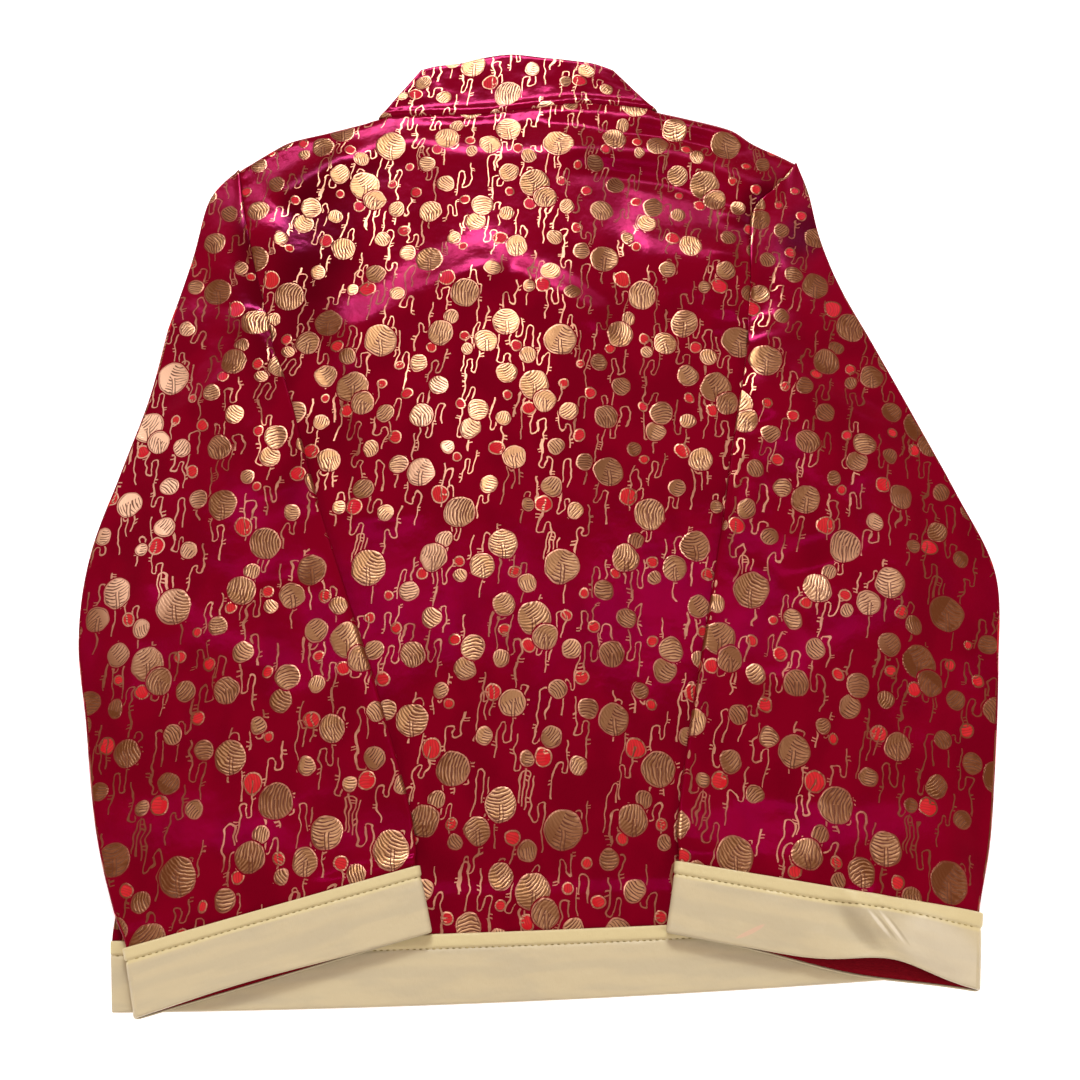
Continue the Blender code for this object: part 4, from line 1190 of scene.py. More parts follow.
def new_group(name, inputs, output):
    """An empty node group with one output: its tree, its input values and its output socket."""
    group = bpy.data.node_groups.new(name, "ShaderNodeTree")
    for label, kind in inputs.items():
        group.interface.new_socket(label, in_out="INPUT", socket_type="NodeSocket" + kind)
    group.interface.new_socket(output, in_out="OUTPUT", socket_type="NodeSocketFloat")
    start = group.nodes.new("NodeGroupInput")
    end = group.nodes.new("NodeGroupOutput")
    return Tree(group), start.outputs, end.inputs[0]


# --- The brocade's pattern: balls on trailing vines, woven over satin ---

REPEAT = (92.0, 114.0)  # width and height of one repeat, in millimetres
FLAT = (1.0, 1.0, 0.0)
MIDDLE_GREY = (0.5, 0.5, 0.5)  # what a noise's colour is counted from

BALL_TALL = 1.08  # height of every ball, in its widths
Ball = namedtuple("Ball", "kind x y size")
BALLS = [  # from the back to the front
    Ball("red", 36.0, 96.5, 5.5),
    Ball("red", 20.5, 87.0, 4.6),
    Ball("red", 53.5, 102.0, 5.5),
    Ball("red", 80.0, 97.0, 6.2),
    Ball("red", 86.5, 63.8, 6.6),
    Ball("red", 52.2, 66.0, 5.4),
    Ball("red", 19.5, 49.5, 6.4),
    Ball("red", 51.0, 38.2, 4.9),
    Ball("red", 70.5, 43.0, 7.7),
    Ball("red", 1.5, 15.5, 8.1),
    Ball("red", 43.2, 19.8, 9.1),
    Ball("red", 75.5, 70.5, 5.0),
    Ball("red", 25.0, 72.0, 6.0),
    Ball("gold", 46.0, 112.5, 7.5),
    Ball("gold", 10.0, 100.0, 16.4),
    Ball("gold", 41.0, 104.0, 13.2),
    Ball("gold", 30.0, 88.5, 8.9),
    Ball("gold", 54.5, 95.0, 6.3),
    Ball("gold", 64.5, 99.5, 11.8),
    Ball("gold", 74.5, 110.0, 14.1),
    Ball("gold", 86.0, 92.0, 8.5),
    Ball("gold", 41.0, 76.0, 9.4),
    Ball("gold", 75.0, 82.0, 10.8),
    Ball("gold", 89.0, 76.0, 15.5),
    Ball("gold", 14.5, 62.0, 8.9),
    Ball("red", 12.0, 77.0, 5.2),
    Ball("gold", 2.5, 67.5, 11.8),
    Ball("gold", 33.0, 60.0, 11.8),
    Ball("gold", 57.5, 53.0, 10.3),
    Ball("gold", 61.0, 62.5, 11.3),
    Ball("gold", 74.0, 58.0, 7.8),
    Ball("gold", 8.0, 44.0, 8.5),
    Ball("gold", 22.0, 36.0, 8.9),
    Ball("gold", 33.5, 31.5, 14.1),
    Ball("gold", 46.5, 43.5, 7.0),
    Ball("gold", 79.5, 38.5, 12.2),
    Ball("gold", 5.5, 24.0, 9.9),
    Ball("gold", 67.0, 24.5, 8.3),
    Ball("gold", 53.0, 11.0, 15.0),
    Ball("gold", 17.0, 12.0, 8.0),
    Ball("gold", 86.0, 15.0, 6.6),
]
STEM_RADIUS = 5.8  # gold balls at least this large carry a stem and a plain wedge
BALL_GAP = 0.6  # width of the satin that shows round a ball
BALL_RIM = 0.65  # width of its plain rim
RED_MARK = 50.0  # added to a ball's radius where it is red

# Vines: one curve in each cell of a grid, with its size, place and hand drawn by lot
Vines = namedtuple("Vines", "across up shift_x shift_y seed radius step leg")
VINES = [
    Vines(5, 3, 0.0, 0.0, 3.7, 1.5, 4.5, 16.0),
    Vines(4, 3, 9.2, 19.0, 11.3, 1.35, 4.0, 15.0),
]
HAIRPINS = Vines(3, 3, 4.6, 28.0, 41.1, 1.9, 0.0, 16.0)
VINE_HALF_WIDTH = 0.34
VINE_LEAN = 0.1  # how far the vines lean to one side for each millimetre up
VINE_ROOM = (6.5, 9.0)  # room kept free beside a vine in its cell, and its play up and down
SHORTEST_STEP = 1.4
SHORTEST_LEG = 1.5
HAIRPIN_START = -6.0  # where a hairpin's bend starts, and how long its shorter leg may be
HAIRPIN_LEG = 8.0
LEAF_PLACE = (1.1, 6.0)  # of a pair of small leaves, from the outer leg of a vine
LEAF_LENGTH = 0.8  # half of it, and half of the space between the two
LEAF_HALF_WIDTH = 0.28

# Unevenness of the drawing: scale and detail of a noise, and how far it moves balls and vines
Wobble = namedtuple("Wobble", "scale detail balls vines")
WOBBLES = [
    Wobble(0.27, 0.0, (0.35, 0.35, 0.0), (1.1, 0.8, 0.0)),
    Wobble(0.085, 1.0, (2.5, 2.0, 0.0), (5.0, 5.0, 0.0)),
]

# Floats of a ball, which run in uneven, bent strokes between dark lines
FLOAT_TURN = (3.17, 1.73, 0.0)  # gives each ball a direction of its own
FLOAT_NOISE = (0.17, 0.42, 0.0)
FLOAT_DETAIL = 1.2
FLOAT_BOW = 0.05
FLOAT_BEND = 6.0
FLOAT_PITCH = (0.07, 0.95)  # for each millimetre of the ball's radius, and at least
FLOAT_WAVE = 0.5
FLOAT_SIDE = 0.045  # how much closer the lines lie on one side
LINE_EDGE = (0.64, 0.76)
DULL_SIDE = 0.25  # a plain wedge starts this share of the radius from the middle,
DULL_SHARE = 0.55  # on all balls but this share, and its gold shines less
DULL_STREAK = 0.7
STEM_X = 0.3  # place of a ball's stem, its two dark lines, and the plain gold round it
STEM_APART = 0.75
STEM_HALF_LINE = 0.28
STEM_TOP = 0.4
STEM_CLEAR = (1.1, 0.6)
PARTING = (0.12, 0.14)  # place inside the rim, and half width, of the line that parts it off
PARTING_START = (-0.5, 1.5)
FLOAT_TILT = 0.14  # how far the floats' sides, the rims and whole balls tilt
RIM_TILT = 0.12
BALL_TILT = 0.13


def wrapped(tree, point):
    """The point's place in the repeat, counted from its corner or its middle, each way."""
    places = {}
    for across in (False, True):
        for up in (False, True):
            low = (-REPEAT[0] / 2 if across else 0.0, -REPEAT[1] / 2 if up else 0.0, -1.0)
            high = (low[0] + REPEAT[0], low[1] + REPEAT[1], 1.0)
            places[across, up] = tree.vector("WRAP", point, high, low)
    return places


def draw_balls(tree, point):
    """The topmost ball at a point: its middle, and its radius with its mark as the third part."""
    places = wrapped(tree, point)
    found = (0.0, 0.0, -BALL_GAP)
    for ball in BALLS:
        reach = ball.size / 2 + BALL_GAP
        across = not reach < ball.x < REPEAT[0] - reach
        up = not reach < ball.y < REPEAT[1] - reach
        x = ball.x - (REPEAT[0] if across and ball.x > REPEAT[0] / 2 else 0.0)
        y = ball.y - (REPEAT[1] if up and ball.y > REPEAT[1] / 2 else 0.0)
        away = tree.vector("DISTANCE", places[across, up], (x, y, 0.0))
        hit = tree.math("LESS_THAN", away, reach)
        mark = ball.size / 2 + (RED_MARK if ball.kind == "red" else 0.0)
        found = tree.mix(hit, found, (x, y, mark), "VECTOR")
    return found


def vine_cell(tree, place, vines):
    """A point's place in its cell's own vine, in millimetres, and the cell's three lots."""
    cell = (REPEAT[0] / vines.across, REPEAT[1] / vines.up, 1.0)
    scaled = tree.vector("DIVIDE", tree.vector("ADD", place, (vines.shift_x, vines.shift_y, 0.0)), cell)
    number = tree.vector("WRAP", tree.vector("FLOOR", scaled), (vines.across, vines.up, 1.0), (0.0, 0.0, 0.0))
    seeded = tree.vector("ADD", number, (0.5, 0.5, vines.seed))
    lots = tree.add("TexWhiteNoise", [seeded], noise_dimensions="3D").outputs["Color"]
    room = (cell[0] - 4 * vines.radius - VINE_ROOM[0], VINE_ROOM[1], 0.0)
    shift = tree.vector("MULTIPLY", tree.vector("SUBTRACT", lots, MIDDLE_GREY), room)
    middle = tree.vector("SUBTRACT", tree.vector("FRACTION", scaled), (0.5, 0.5, 0.0))
    point = tree.vector("SUBTRACT", tree.vector("MULTIPLY", middle, (cell[0], cell[1], 0.0)), shift)
    lots = tree.parts(lots)
    hand = tree.math("SIGN", tree.math("SUBTRACT", lots[2], 0.5))
    return tree.vector("MULTIPLY", point, tree.joined(hand, 1.0, 0.0)), lots


def vine_line(tree, x, y, radius, start):
    """1 on a half circle round (radius, start) and on the two legs that run up from it."""
    below = tree.math("MINIMUM", tree.math("SUBTRACT", y, start), 0.0)
    cup = tree.joined(tree.math("SUBTRACT", x, radius), below)
    return tree.math("COMPARE", tree.vector("LENGTH", cup), radius, VINE_HALF_WIDTH)


def draw_bends(tree, place, vines):
    """Vines that run down, turn up for a short step, and turn down again."""
    point, lots = vine_cell(tree, place, vines)
    side = tree.math("SIGN", tree.parts(point)[0])
    x, y, _ = tree.parts(tree.scale(point, side))  # both halves, turned on to each other
    step = tree.math("MULTIPLY_ADD", lots[0], vines.step, SHORTEST_STEP)
    line = vine_line(tree, x, y, vines.radius, tree.math("MULTIPLY", step, -0.5))
    outer = tree.math("GREATER_THAN", x, vines.radius)
    leg = tree.math("MULTIPLY_ADD", lots[1], vines.leg, SHORTEST_LEG)
    limit = tree.math("MULTIPLY_ADD", outer, leg, tree.math("MULTIPLY", step, 0.5))
    line = tree.math("MULTIPLY", line, tree.math("LESS_THAN", y, limit))
    return tree.math("MAXIMUM", line, draw_leaves(tree, x, y, vines.radius))


def draw_hairpins(tree, place, vines):
    """Vines that run up, turn round and hang down again."""
    point, lots = vine_cell(tree, place, vines)
    x, y, _ = tree.parts(point)
    x = tree.math("ADD", x, vines.radius)
    y = tree.math("MULTIPLY", y, -1.0)
    line = vine_line(tree, x, y, vines.radius, HAIRPIN_START)
    outer = tree.math("GREATER_THAN", x, vines.radius)
    longer = tree.math("MULTIPLY", lots[0], vines.leg)
    limit = tree.math("MULTIPLY_ADD", outer, longer, tree.math("MULTIPLY", lots[1], HAIRPIN_LEG))
    return tree.math("MULTIPLY", line, tree.math("LESS_THAN", y, limit))


def draw_leaves(tree, x, y, radius):
    """A pair of small leaves beside a vine's outer leg."""
    near = tree.math("COMPARE", x, 2 * radius + LEAF_PLACE[0], LEAF_LENGTH)
    apart = tree.math("ABSOLUTE", tree.math("SUBTRACT", y, LEAF_PLACE[1]))
    return tree.math("MULTIPLY", near, tree.math("COMPARE", apart, LEAF_LENGTH, LEAF_HALF_WIDTH))


def uneven_places(tree, place):
    """The cloth's place, moved unevenly as the balls and as the vines are woven."""
    ball_place = vine_place = place
    for wobble in WOBBLES:
        noise = tree.noise(place, wobble.scale, wobble.detail).outputs["Color"]
        shift = tree.vector("SUBTRACT", noise, MIDDLE_GREY)
        ball_place = tree.vector("MULTIPLY_ADD", shift, wobble.balls, ball_place)
        vine_place = tree.vector("MULTIPLY_ADD", shift, wobble.vines, vine_place)
    lean = tree.math("MULTIPLY", tree.parts(vine_place)[1], -VINE_LEAN)
    vine_place = tree.vector("ADD", vine_place, tree.joined(lean))
    ball_place = tree.vector("MULTIPLY", ball_place, (1.0, 1.0 / BALL_TALL, 0.0))
    return ball_place, tree.vector("MULTIPLY", vine_place, FLAT)


def draw_vines(tree, place):
    vine = draw_hairpins(tree, place, HAIRPINS)
    for vines in VINES:
        vine = tree.math("MAXIMUM", vine, draw_bends(tree, place, vines))
    return vine


def draw_stem(tree, x, y, has_stem):
    """The two dark lines of a ball's stem, and the plain gold round them."""
    apart = tree.math("ABSOLUTE", tree.math("SUBTRACT", x, STEM_X))
    beside = tree.math("COMPARE", apart, STEM_APART, STEM_HALF_LINE)
    stem = tree.math("MULTIPLY", beside, tree.math("LESS_THAN", y, STEM_TOP))
    near = tree.math("COMPARE", x, STEM_X, STEM_CLEAR[0])
    clear = tree.math("MULTIPLY", near, tree.math("LESS_THAN", y, STEM_CLEAR[1]))
    return tree.math("MULTIPLY", stem, has_stem), tree.math("MULTIPLY", clear, has_stem)


Pattern = namedtuple("Pattern", "gold red vine line streak tilt")


def draw_pattern(tree, place):
    """Masks of gold and red weft, of the dark lines between the floats, and the floats' tilt."""
    ball_place, vine_place = uneven_places(tree, place)
    vine = draw_vines(tree, vine_place)
    found = draw_balls(tree, ball_place)
    mark = tree.parts(found)[2]
    is_red = tree.math("GREATER_THAN", mark, RED_MARK / 2)
    size = tree.math("MULTIPLY_ADD", is_red, -RED_MARK, mark)
    half = (REPEAT[0] / 2, REPEAT[1] / 2, 1.0)
    local = tree.vector("SUBTRACT", ball_place, found)
    local = tree.vector("WRAP", local, half, tuple(-side for side in half))
    local = tree.vector("MULTIPLY", local, FLAT)
    depth = tree.math("SUBTRACT", size, tree.vector("LENGTH", local))  # how far inside the ball's edge
    inside = tree.math("GREATER_THAN", depth, 0.0)
    in_gap = tree.math("GREATER_THAN", depth, -BALL_GAP)
    rim = tree.math("LESS_THAN", depth, BALL_RIM)
    # Floats run in a direction of each ball's own, in uneven strokes, closer on one side
    number = tree.vector("DOT_PRODUCT", found, FLOAT_TURN)
    turn = {"Vector": local, "Angle": number}
    turned = tree.add("VectorRotate", turn, rotation_type="Z_AXIS").outputs[0]
    streak = tree.noise(tree.vector("MULTIPLY", turned, FLOAT_NOISE), 1.0, FLOAT_DETAIL).outputs["Fac"]
    stroke_x, stroke_y, _ = tree.parts(turned)
    slope = tree.math("MULTIPLY_ADD", tree.math("MULTIPLY", stroke_x, stroke_x), FLOAT_BOW, stroke_y)
    pitch = tree.math("MULTIPLY_ADD", size, *FLOAT_PITCH)
    strokes = tree.math("DIVIDE", tree.math("MULTIPLY", slope, 2 * math.pi), pitch)
    phase = tree.math("ADD", strokes, tree.math("MULTIPLY", streak, FLOAT_BEND))
    shade = tree.math("MULTIPLY_ADD", tree.math("SINE", phase), FLOAT_WAVE, streak)
    shade = tree.math("MULTIPLY_ADD", stroke_x, FLOAT_SIDE, shade)
    dull = tree.math("GREATER_THAN", tree.math("MULTIPLY_ADD", size, -DULL_SIDE, stroke_x), 0.0)
    dull = tree.math("MULTIPLY", dull, tree.math("GREATER_THAN", tree.math("FRACT", number), DULL_SHARE))
    plain = tree.math("MAXIMUM", rim, dull)
    stroke = tree.math("MULTIPLY", tree.ramp(shade, *LINE_EDGE), tree.opposite(plain))
    x, y, _ = tree.parts(local)
    stem, clear = draw_stem(tree, x, y, tree.math("GREATER_THAN", size, STEM_RADIUS))
    stroke = tree.math("MULTIPLY", stroke, tree.opposite(clear))
    # A thin dark line parts the rim from the floats on one side of a ball
    parting = tree.math("COMPARE", depth, BALL_RIM + PARTING[0], PARTING[1])
    parting = tree.math("MULTIPLY", parting, tree.ramp(stroke_y, *PARTING_START))
    line = tree.math("MAXIMUM", tree.math("MAXIMUM", stroke, parting), stem)
    red = tree.math("MULTIPLY", is_red, tree.math("GREATER_THAN", depth, BALL_RIM))
    over = tree.math("MULTIPLY", in_gap, tree.opposite(is_red))
    vine = tree.math("MULTIPLY", vine, tree.opposite(over))
    # Each float rounds over, the rims stand up, and each ball lies in its own way
    across = tree.joined(0.0, tree.math("MULTIPLY", tree.math("COSINE", phase), inside))
    turn = {"Vector": across, "Angle": number}
    back = tree.add("VectorRotate", turn, rotation_type="Z_AXIS", invert=True).outputs[0]
    rim_inside = tree.math("MULTIPLY", rim, inside)
    outward = tree.scale(local, tree.math("DIVIDE", rim_inside, size))
    lie = tree.add("TexWhiteNoise", [found], noise_dimensions="3D").outputs["Color"]
    lie = tree.vector("SUBTRACT", lie, (0.5, 0.5, 0.0))
    tilt = tree.vector("ADD", tree.scale(back, FLOAT_TILT), tree.scale(outward, RIM_TILT))
    return Pattern(
        gold=tree.math("MAXIMUM", tree.math("SUBTRACT", inside, red), vine),
        red=tree.math("MULTIPLY", red, tree.opposite(vine)),
        vine=tree.math("MAXIMUM", vine, rim_inside),
        line=tree.math("MULTIPLY", line, inside),
        streak=tree.math("MULTIPLY", streak, tree.math("MULTIPLY_ADD", dull, -DULL_STREAK, 1.0)),
        tilt=tree.vector("ADD", tilt, tree.scale(lie, tree.math("MULTIPLY", inside, BALL_TILT))),
    )


# --- Materials ---

# Soft slanting ovals where a cloth's colour changes, in its own millimetres: painted shade and painted light,
# and one rosy rub
Spot = namedtuple("Spot", "x y angle long wide hard amount")
PAINTED_SHADE_SATIN_SPOTS = [  # painted shade: the brocade darker where it lies in shade by the left armhole and sleeve and under the shoulders
    Spot(-118.0, 160.0, 80.0, 90.0, 34.0, 0.15, 0.62),
    Spot(-129.0, 190.0, 80.0, 34.0, 17.0, 0.2, 0.6),
    Spot(-104.0, 212.0, 12.0, 40.0, 18.0, 0.2, 0.4),
    Spot(119.0, 190.0, 60.0, 32.0, 18.0, 0.2, 0.8),
    Spot(-108.0, 60.0, 78.0, 60.0, 20.0, 0.15, 0.2),
]
PAINTED_SHADE_GOLD_SPOTS = [  # painted shade on the gold, where it catches less of the lamps' light
    Spot(0.0, 212.0, 0.0, 84.0, 34.0, 0.4, 0.68),
    Spot(18.0, 20.0, 87.0, 110.0, 24.0, 0.3, 0.4),
    Spot(10.0, -80.0, 0.0, 90.0, 60.0, 0.3, 0.25),
]
PAINTED_LIGHT_GOLD_SPOTS = [  # painted light on the gold, where it catches more of the lamps' light
    Spot(-188.0, 60.0, 87.0, 130.0, 36.0, 0.4, 0.95),
    Spot(150.0, -5.0, 80.0, 80.0, 32.0, 0.3, 0.35),
    Spot(-54.0, 30.0, 84.0, 100.0, 22.0, 0.3, 0.6),
]
PAINTED_CREASE_SHADE_SPOTS = [  # painted shade beside the right cuff's creases, and at its end
    Spot(556.5, 14.0, -44.0, 18.0, 4.6, 0.3, 0.36),
    Spot(566.0, 16.3, -46.0, 9.5, 0.9, 0.3, 0.45),
    Spot(571.5, 15.8, -46.0, 9.0, 0.9, 0.3, 0.4),
]
PAINTED_CREASE_HIGHLIGHT_SPOTS = [  # painted highlights on the creases themselves
    Spot(563.3, 17.0, -46.0, 8.5, 1.0, 0.4, 0.6),
    Spot(568.8, 16.6, -47.0, 9.5, 1.1, 0.4, 0.6),
]
# Painted sheen at the end of the right cuff
PAINTED_SHEEN_SPOTS = [Spot(590.0, 12.0, -12.0, 26.0, 15.0, 0.5, 0.55)]
ROSE_RUBS = [Spot(510.0, 8.0, 33.0, 7.8, 1.0, 0.75, 0.7)]

# Colours of the spots and of the finer threads
# Painted shade on the satin, painted shade on the gold and painted light on the gold
PAINTED_SHADE_SATIN = (0.03, 0.0002, 0.002)
PAINTED_SHADE_GOLD = (0.20, 0.105, 0.05)
PAINTED_LIGHT_GOLD = (1.0, 0.67, 0.46)
PALE_RED = (0.46, 0.025, 0.028)
FLOAT_GAP = (0.07, 0.016, 0.008)  # the dark lines between the gold floats
INSIDE_DARK = (0.07, 0.001, 0.004)
INSIDE_LIGHT = (0.20, 0.004, 0.010)
CREAM_THREAD = (0.45, 0.38, 0.24)
# Painted sheen, painted shade in the cuff's creases and painted highlights on them
PAINTED_SHEEN = (0.52, 0.48, 0.36)
PAINTED_CREASE_SHADE = (0.20, 0.165, 0.10)
PAINTED_CREASE_HIGHLIGHT = (0.66, 0.62, 0.50)
ROSE = (0.55, 0.36, 0.26)

# Satin has a narrow gloss along its threads, and the gold lies across them
SATIN_TINT = (1.0, 0.0, 0.62)
SATIN_ROUGHNESS = 0.20
GOLD_ROUGHNESS = 0.295
RED_ROUGHNESS = 0.42
SATIN_METAL = 0.15
GOLD_METAL = 0.80
PAINTED_LIGHT_METAL = 0.7  # how much of the gold's metal is lost where light is painted on it
QUARTER_TURN = 0.25
VINE_SHARE = 0.7
LINE_DEPTH = 0.92
RED_LINE_DEPTH = 0.55  # how much weaker the dark lines are on red
THREAD_SHARE = 0.45
DRIFT_SHARE = 0.5
SHADE_START = 0.35
CREAM_GLOSS = (0.26, 0.38)
SHADE_STREAK_RISE = (13.0, 15.2)  # heights on the cream bands between which a grey streak of painted shade, the fold's shadow, lies
SHADE_STREAK_FALL = (16.0, 18.6)
SHADE_STREAK_SHARE = 0.8
SHADE_STREAK_DRIFT = 5.0
STRIP_EDGE = (22.0, 23.2)
THREAD_TINT = 0.10
CREAM_WRINKLES = 4.0


def build_spot_group():
    """Soft oval: its amount in the middle and 0 outside it."""
    inputs = {"Place": "Vector", "Middle": "Vector", "Angle": "Float", "Size": "Vector"}
    inputs |= {"Hard": "Float", "Amount": "Float"}
    tree, (place, middle, angle, size, hard, amount, *_), end = new_group("Soft spot", inputs, "Spot")
    local = tree.vector("SUBTRACT", place, middle)
    turned = tree.add("VectorRotate", {"Vector": local, "Angle": angle}, rotation_type="Z_AXIS")
    away = tree.vector("LENGTH", tree.vector("DIVIDE", turned.outputs[0], size))
    tree.link(tree.math("MULTIPLY", tree.opposite(tree.ramp(away, hard, 1.0)), amount), end)


def build_thread_group():
    """Fine threads or soft drifts in a cloth, from a noise drawn out along or across it."""
    tree, (place, scale, detail, *_), end = new_group(
        "Threads", {"Place": "Vector", "Scale": "Vector", "Detail": "Float"}, "Threads"
    )
    tree.link(tree.noise(tree.vector("MULTIPLY", place, scale), 1.0, detail).outputs["Fac"], end)


def threads_of(tree, place, across, up, detail=1.0):
    return tree.group("Threads", place, (across, up, 1.0), detail)


def draw_spot(tree, place, spot):
    middle, size = (spot.x, spot.y, 0.0), (spot.long, spot.wide, 1.0)
    return tree.group("Soft spot", place, middle, math.radians(-spot.angle), size, spot.hard, spot.amount)


def spotted(tree, place, tone, spots, spot_tone):
    """A tone with spots of another colour on it."""
    for spot in spots:
        tone = tree.mix(draw_spot(tree, place, spot), tone, colour(spot_tone), "RGBA")
    return tone


def new_material(name, colour, roughness, **constants):
    """A material with its shader's even settings, and the tree to add its nodes to."""
    material = bpy.data.materials.new(name)
    material.use_nodes = True
    material.diffuse_color = (*colour, 1.0)
    shader = material.node_tree.nodes["Principled BSDF"]
    shader.inputs["Base Color"].default_value = (*colour, 1.0)
    shader.inputs["Roughness"].default_value = roughness
    for label, value in constants.items():
        shader.inputs[label.replace("_", " ")].default_value = value
    return Tree(material.node_tree), shader.inputs


def colour(values):
    return (*values, 1.0)


def raise_surface(tree, shader, height, strength, distance, normal=None):
    bump = {"Height": height, "Strength": strength, "Distance": distance, "Normal": normal}
    tree.link(tree.add("Bump", bump).outputs[0], shader["Normal"])


def build_brocade(settings):
    """Satin of warp floats that run up the cloth, with weft floats of gold and red across it."""
    gloss = {"Specular_IOR_Level": 0.2, "Specular_Tint": colour(SATIN_TINT), "Anisotropic": 0.95}
    tree, shader = new_material("silk_brocade", tuple(settings.satin), 0.3, IOR=1.5, **gloss)
    uv = tree.add("UVMap", uv_map=UV_NAME).outputs[0]
    pattern = draw_pattern(tree, uv)
    threads = threads_of(tree, uv, 4.0, 0.6)
    drift = tree.ramp(threads_of(tree, uv, 0.045, 0.03, 2.0), 0.3, 0.7)
    shade = tree.math("MULTIPLY_ADD", drift, DRIFT_SHARE, SHADE_START)
    shade = tree.math("MULTIPLY_ADD", threads, THREAD_SHARE, shade)
    satin = tree.mix(shade, colour(settings.satin_deep), colour(settings.satin), "RGBA")
    # Painted shade: the satin darkened where it lies in shade beside the left sleeve and under the shoulders
    satin = spotted(tree, uv, satin, PAINTED_SHADE_SATIN_SPOTS, PAINTED_SHADE_SATIN)
    glint = tree.ramp(pattern.streak, 0.25, 0.7)
    gold = tree.mix(glint, colour(settings.gold_deep), colour(settings.gold), "RGBA")
    # Painted shade and painted light on the gold, where it catches less or more of the lamps' light
    gold = spotted(tree, uv, gold, PAINTED_SHADE_GOLD_SPOTS, PAINTED_SHADE_GOLD)
    painted_light = 0.0
    for spot in PAINTED_LIGHT_GOLD_SPOTS:
        painted_light = tree.math("MAXIMUM", painted_light, draw_spot(tree, uv, spot))
    gold = tree.mix(painted_light, gold, colour(PAINTED_LIGHT_GOLD), "RGBA")
    gold = tree.mix(tree.math("MULTIPLY", pattern.vine, VINE_SHARE), gold, colour(settings.vine), "RGBA")
    red = tree.mix(pattern.streak, colour(settings.ball_red), colour(PALE_RED), "RGBA")
    tone = tree.mix(pattern.red, tree.mix(pattern.gold, satin, gold, "RGBA"), red, "RGBA")
    line_depth = tree.math("MULTIPLY_ADD", pattern.red, -RED_LINE_DEPTH, LINE_DEPTH)
    tone = tree.mix(tree.math("MULTIPLY", pattern.line, line_depth), tone, colour(FLOAT_GAP), "RGBA")
    tree.link(tone, shader["Base Color"])
    metal = tree.math("MULTIPLY_ADD", pattern.line, -GOLD_METAL, GOLD_METAL)
    # The gold is less metal where light is painted on it, so that the painted light shows
    metal = tree.math("MULTIPLY", metal, tree.math("MULTIPLY_ADD", painted_light, -PAINTED_LIGHT_METAL, 1.0))
    satin_metal = tree.math("MULTIPLY_ADD", pattern.red, -SATIN_METAL, SATIN_METAL)
    tree.link(tree.math("MULTIPLY_ADD", pattern.gold, metal, satin_metal), shader["Metallic"])
    rough = tree.mix(pattern.gold, SATIN_ROUGHNESS, GOLD_ROUGHNESS)
    tree.link(tree.mix(pattern.red, rough, RED_ROUGHNESS), shader["Roughness"])
    tangent = tree.add("Tangent", direction_type="UV_MAP", uv_map=UV_NAME).outputs[0]
    tree.link(tangent, shader["Tangent"])
    tree.link(tree.math("MULTIPLY", pattern.gold, QUARTER_TURN), shader["Anisotropic Rotation"])
    tilt = tree.vector("MULTIPLY_ADD", pattern.tilt, (0.5, 0.5, 0.0), (0.5, 0.5, 1.0))
    normal = tree.add("NormalMap", {"Color": tilt, "Strength": 1.0}, uv_map=UV_NAME).outputs[0]
    crumple = tree.noise(uv, 0.12, 2.5).outputs["Fac"]
    raise_surface(tree, shader, crumple, 0.2, 0.0006, normal)


def build_inside():
    """The wrong side of the brocade: loose dark red floats."""
    tree, shader = new_material("brocade_inside", (0.12, 0.002, 0.006), 0.8, Specular_IOR_Level=0.1)
    uv = tree.add("UVMap", uv_map=UV_NAME).outputs[0]
    floats = threads_of(tree, uv, 0.5, 3.0, 2.0)
    tree.link(tree.mix(floats, colour(INSIDE_DARK), colour(INSIDE_LIGHT), "RGBA"), shader["Base Color"])
    raise_surface(tree, shader, floats, 0.5, 0.0004)


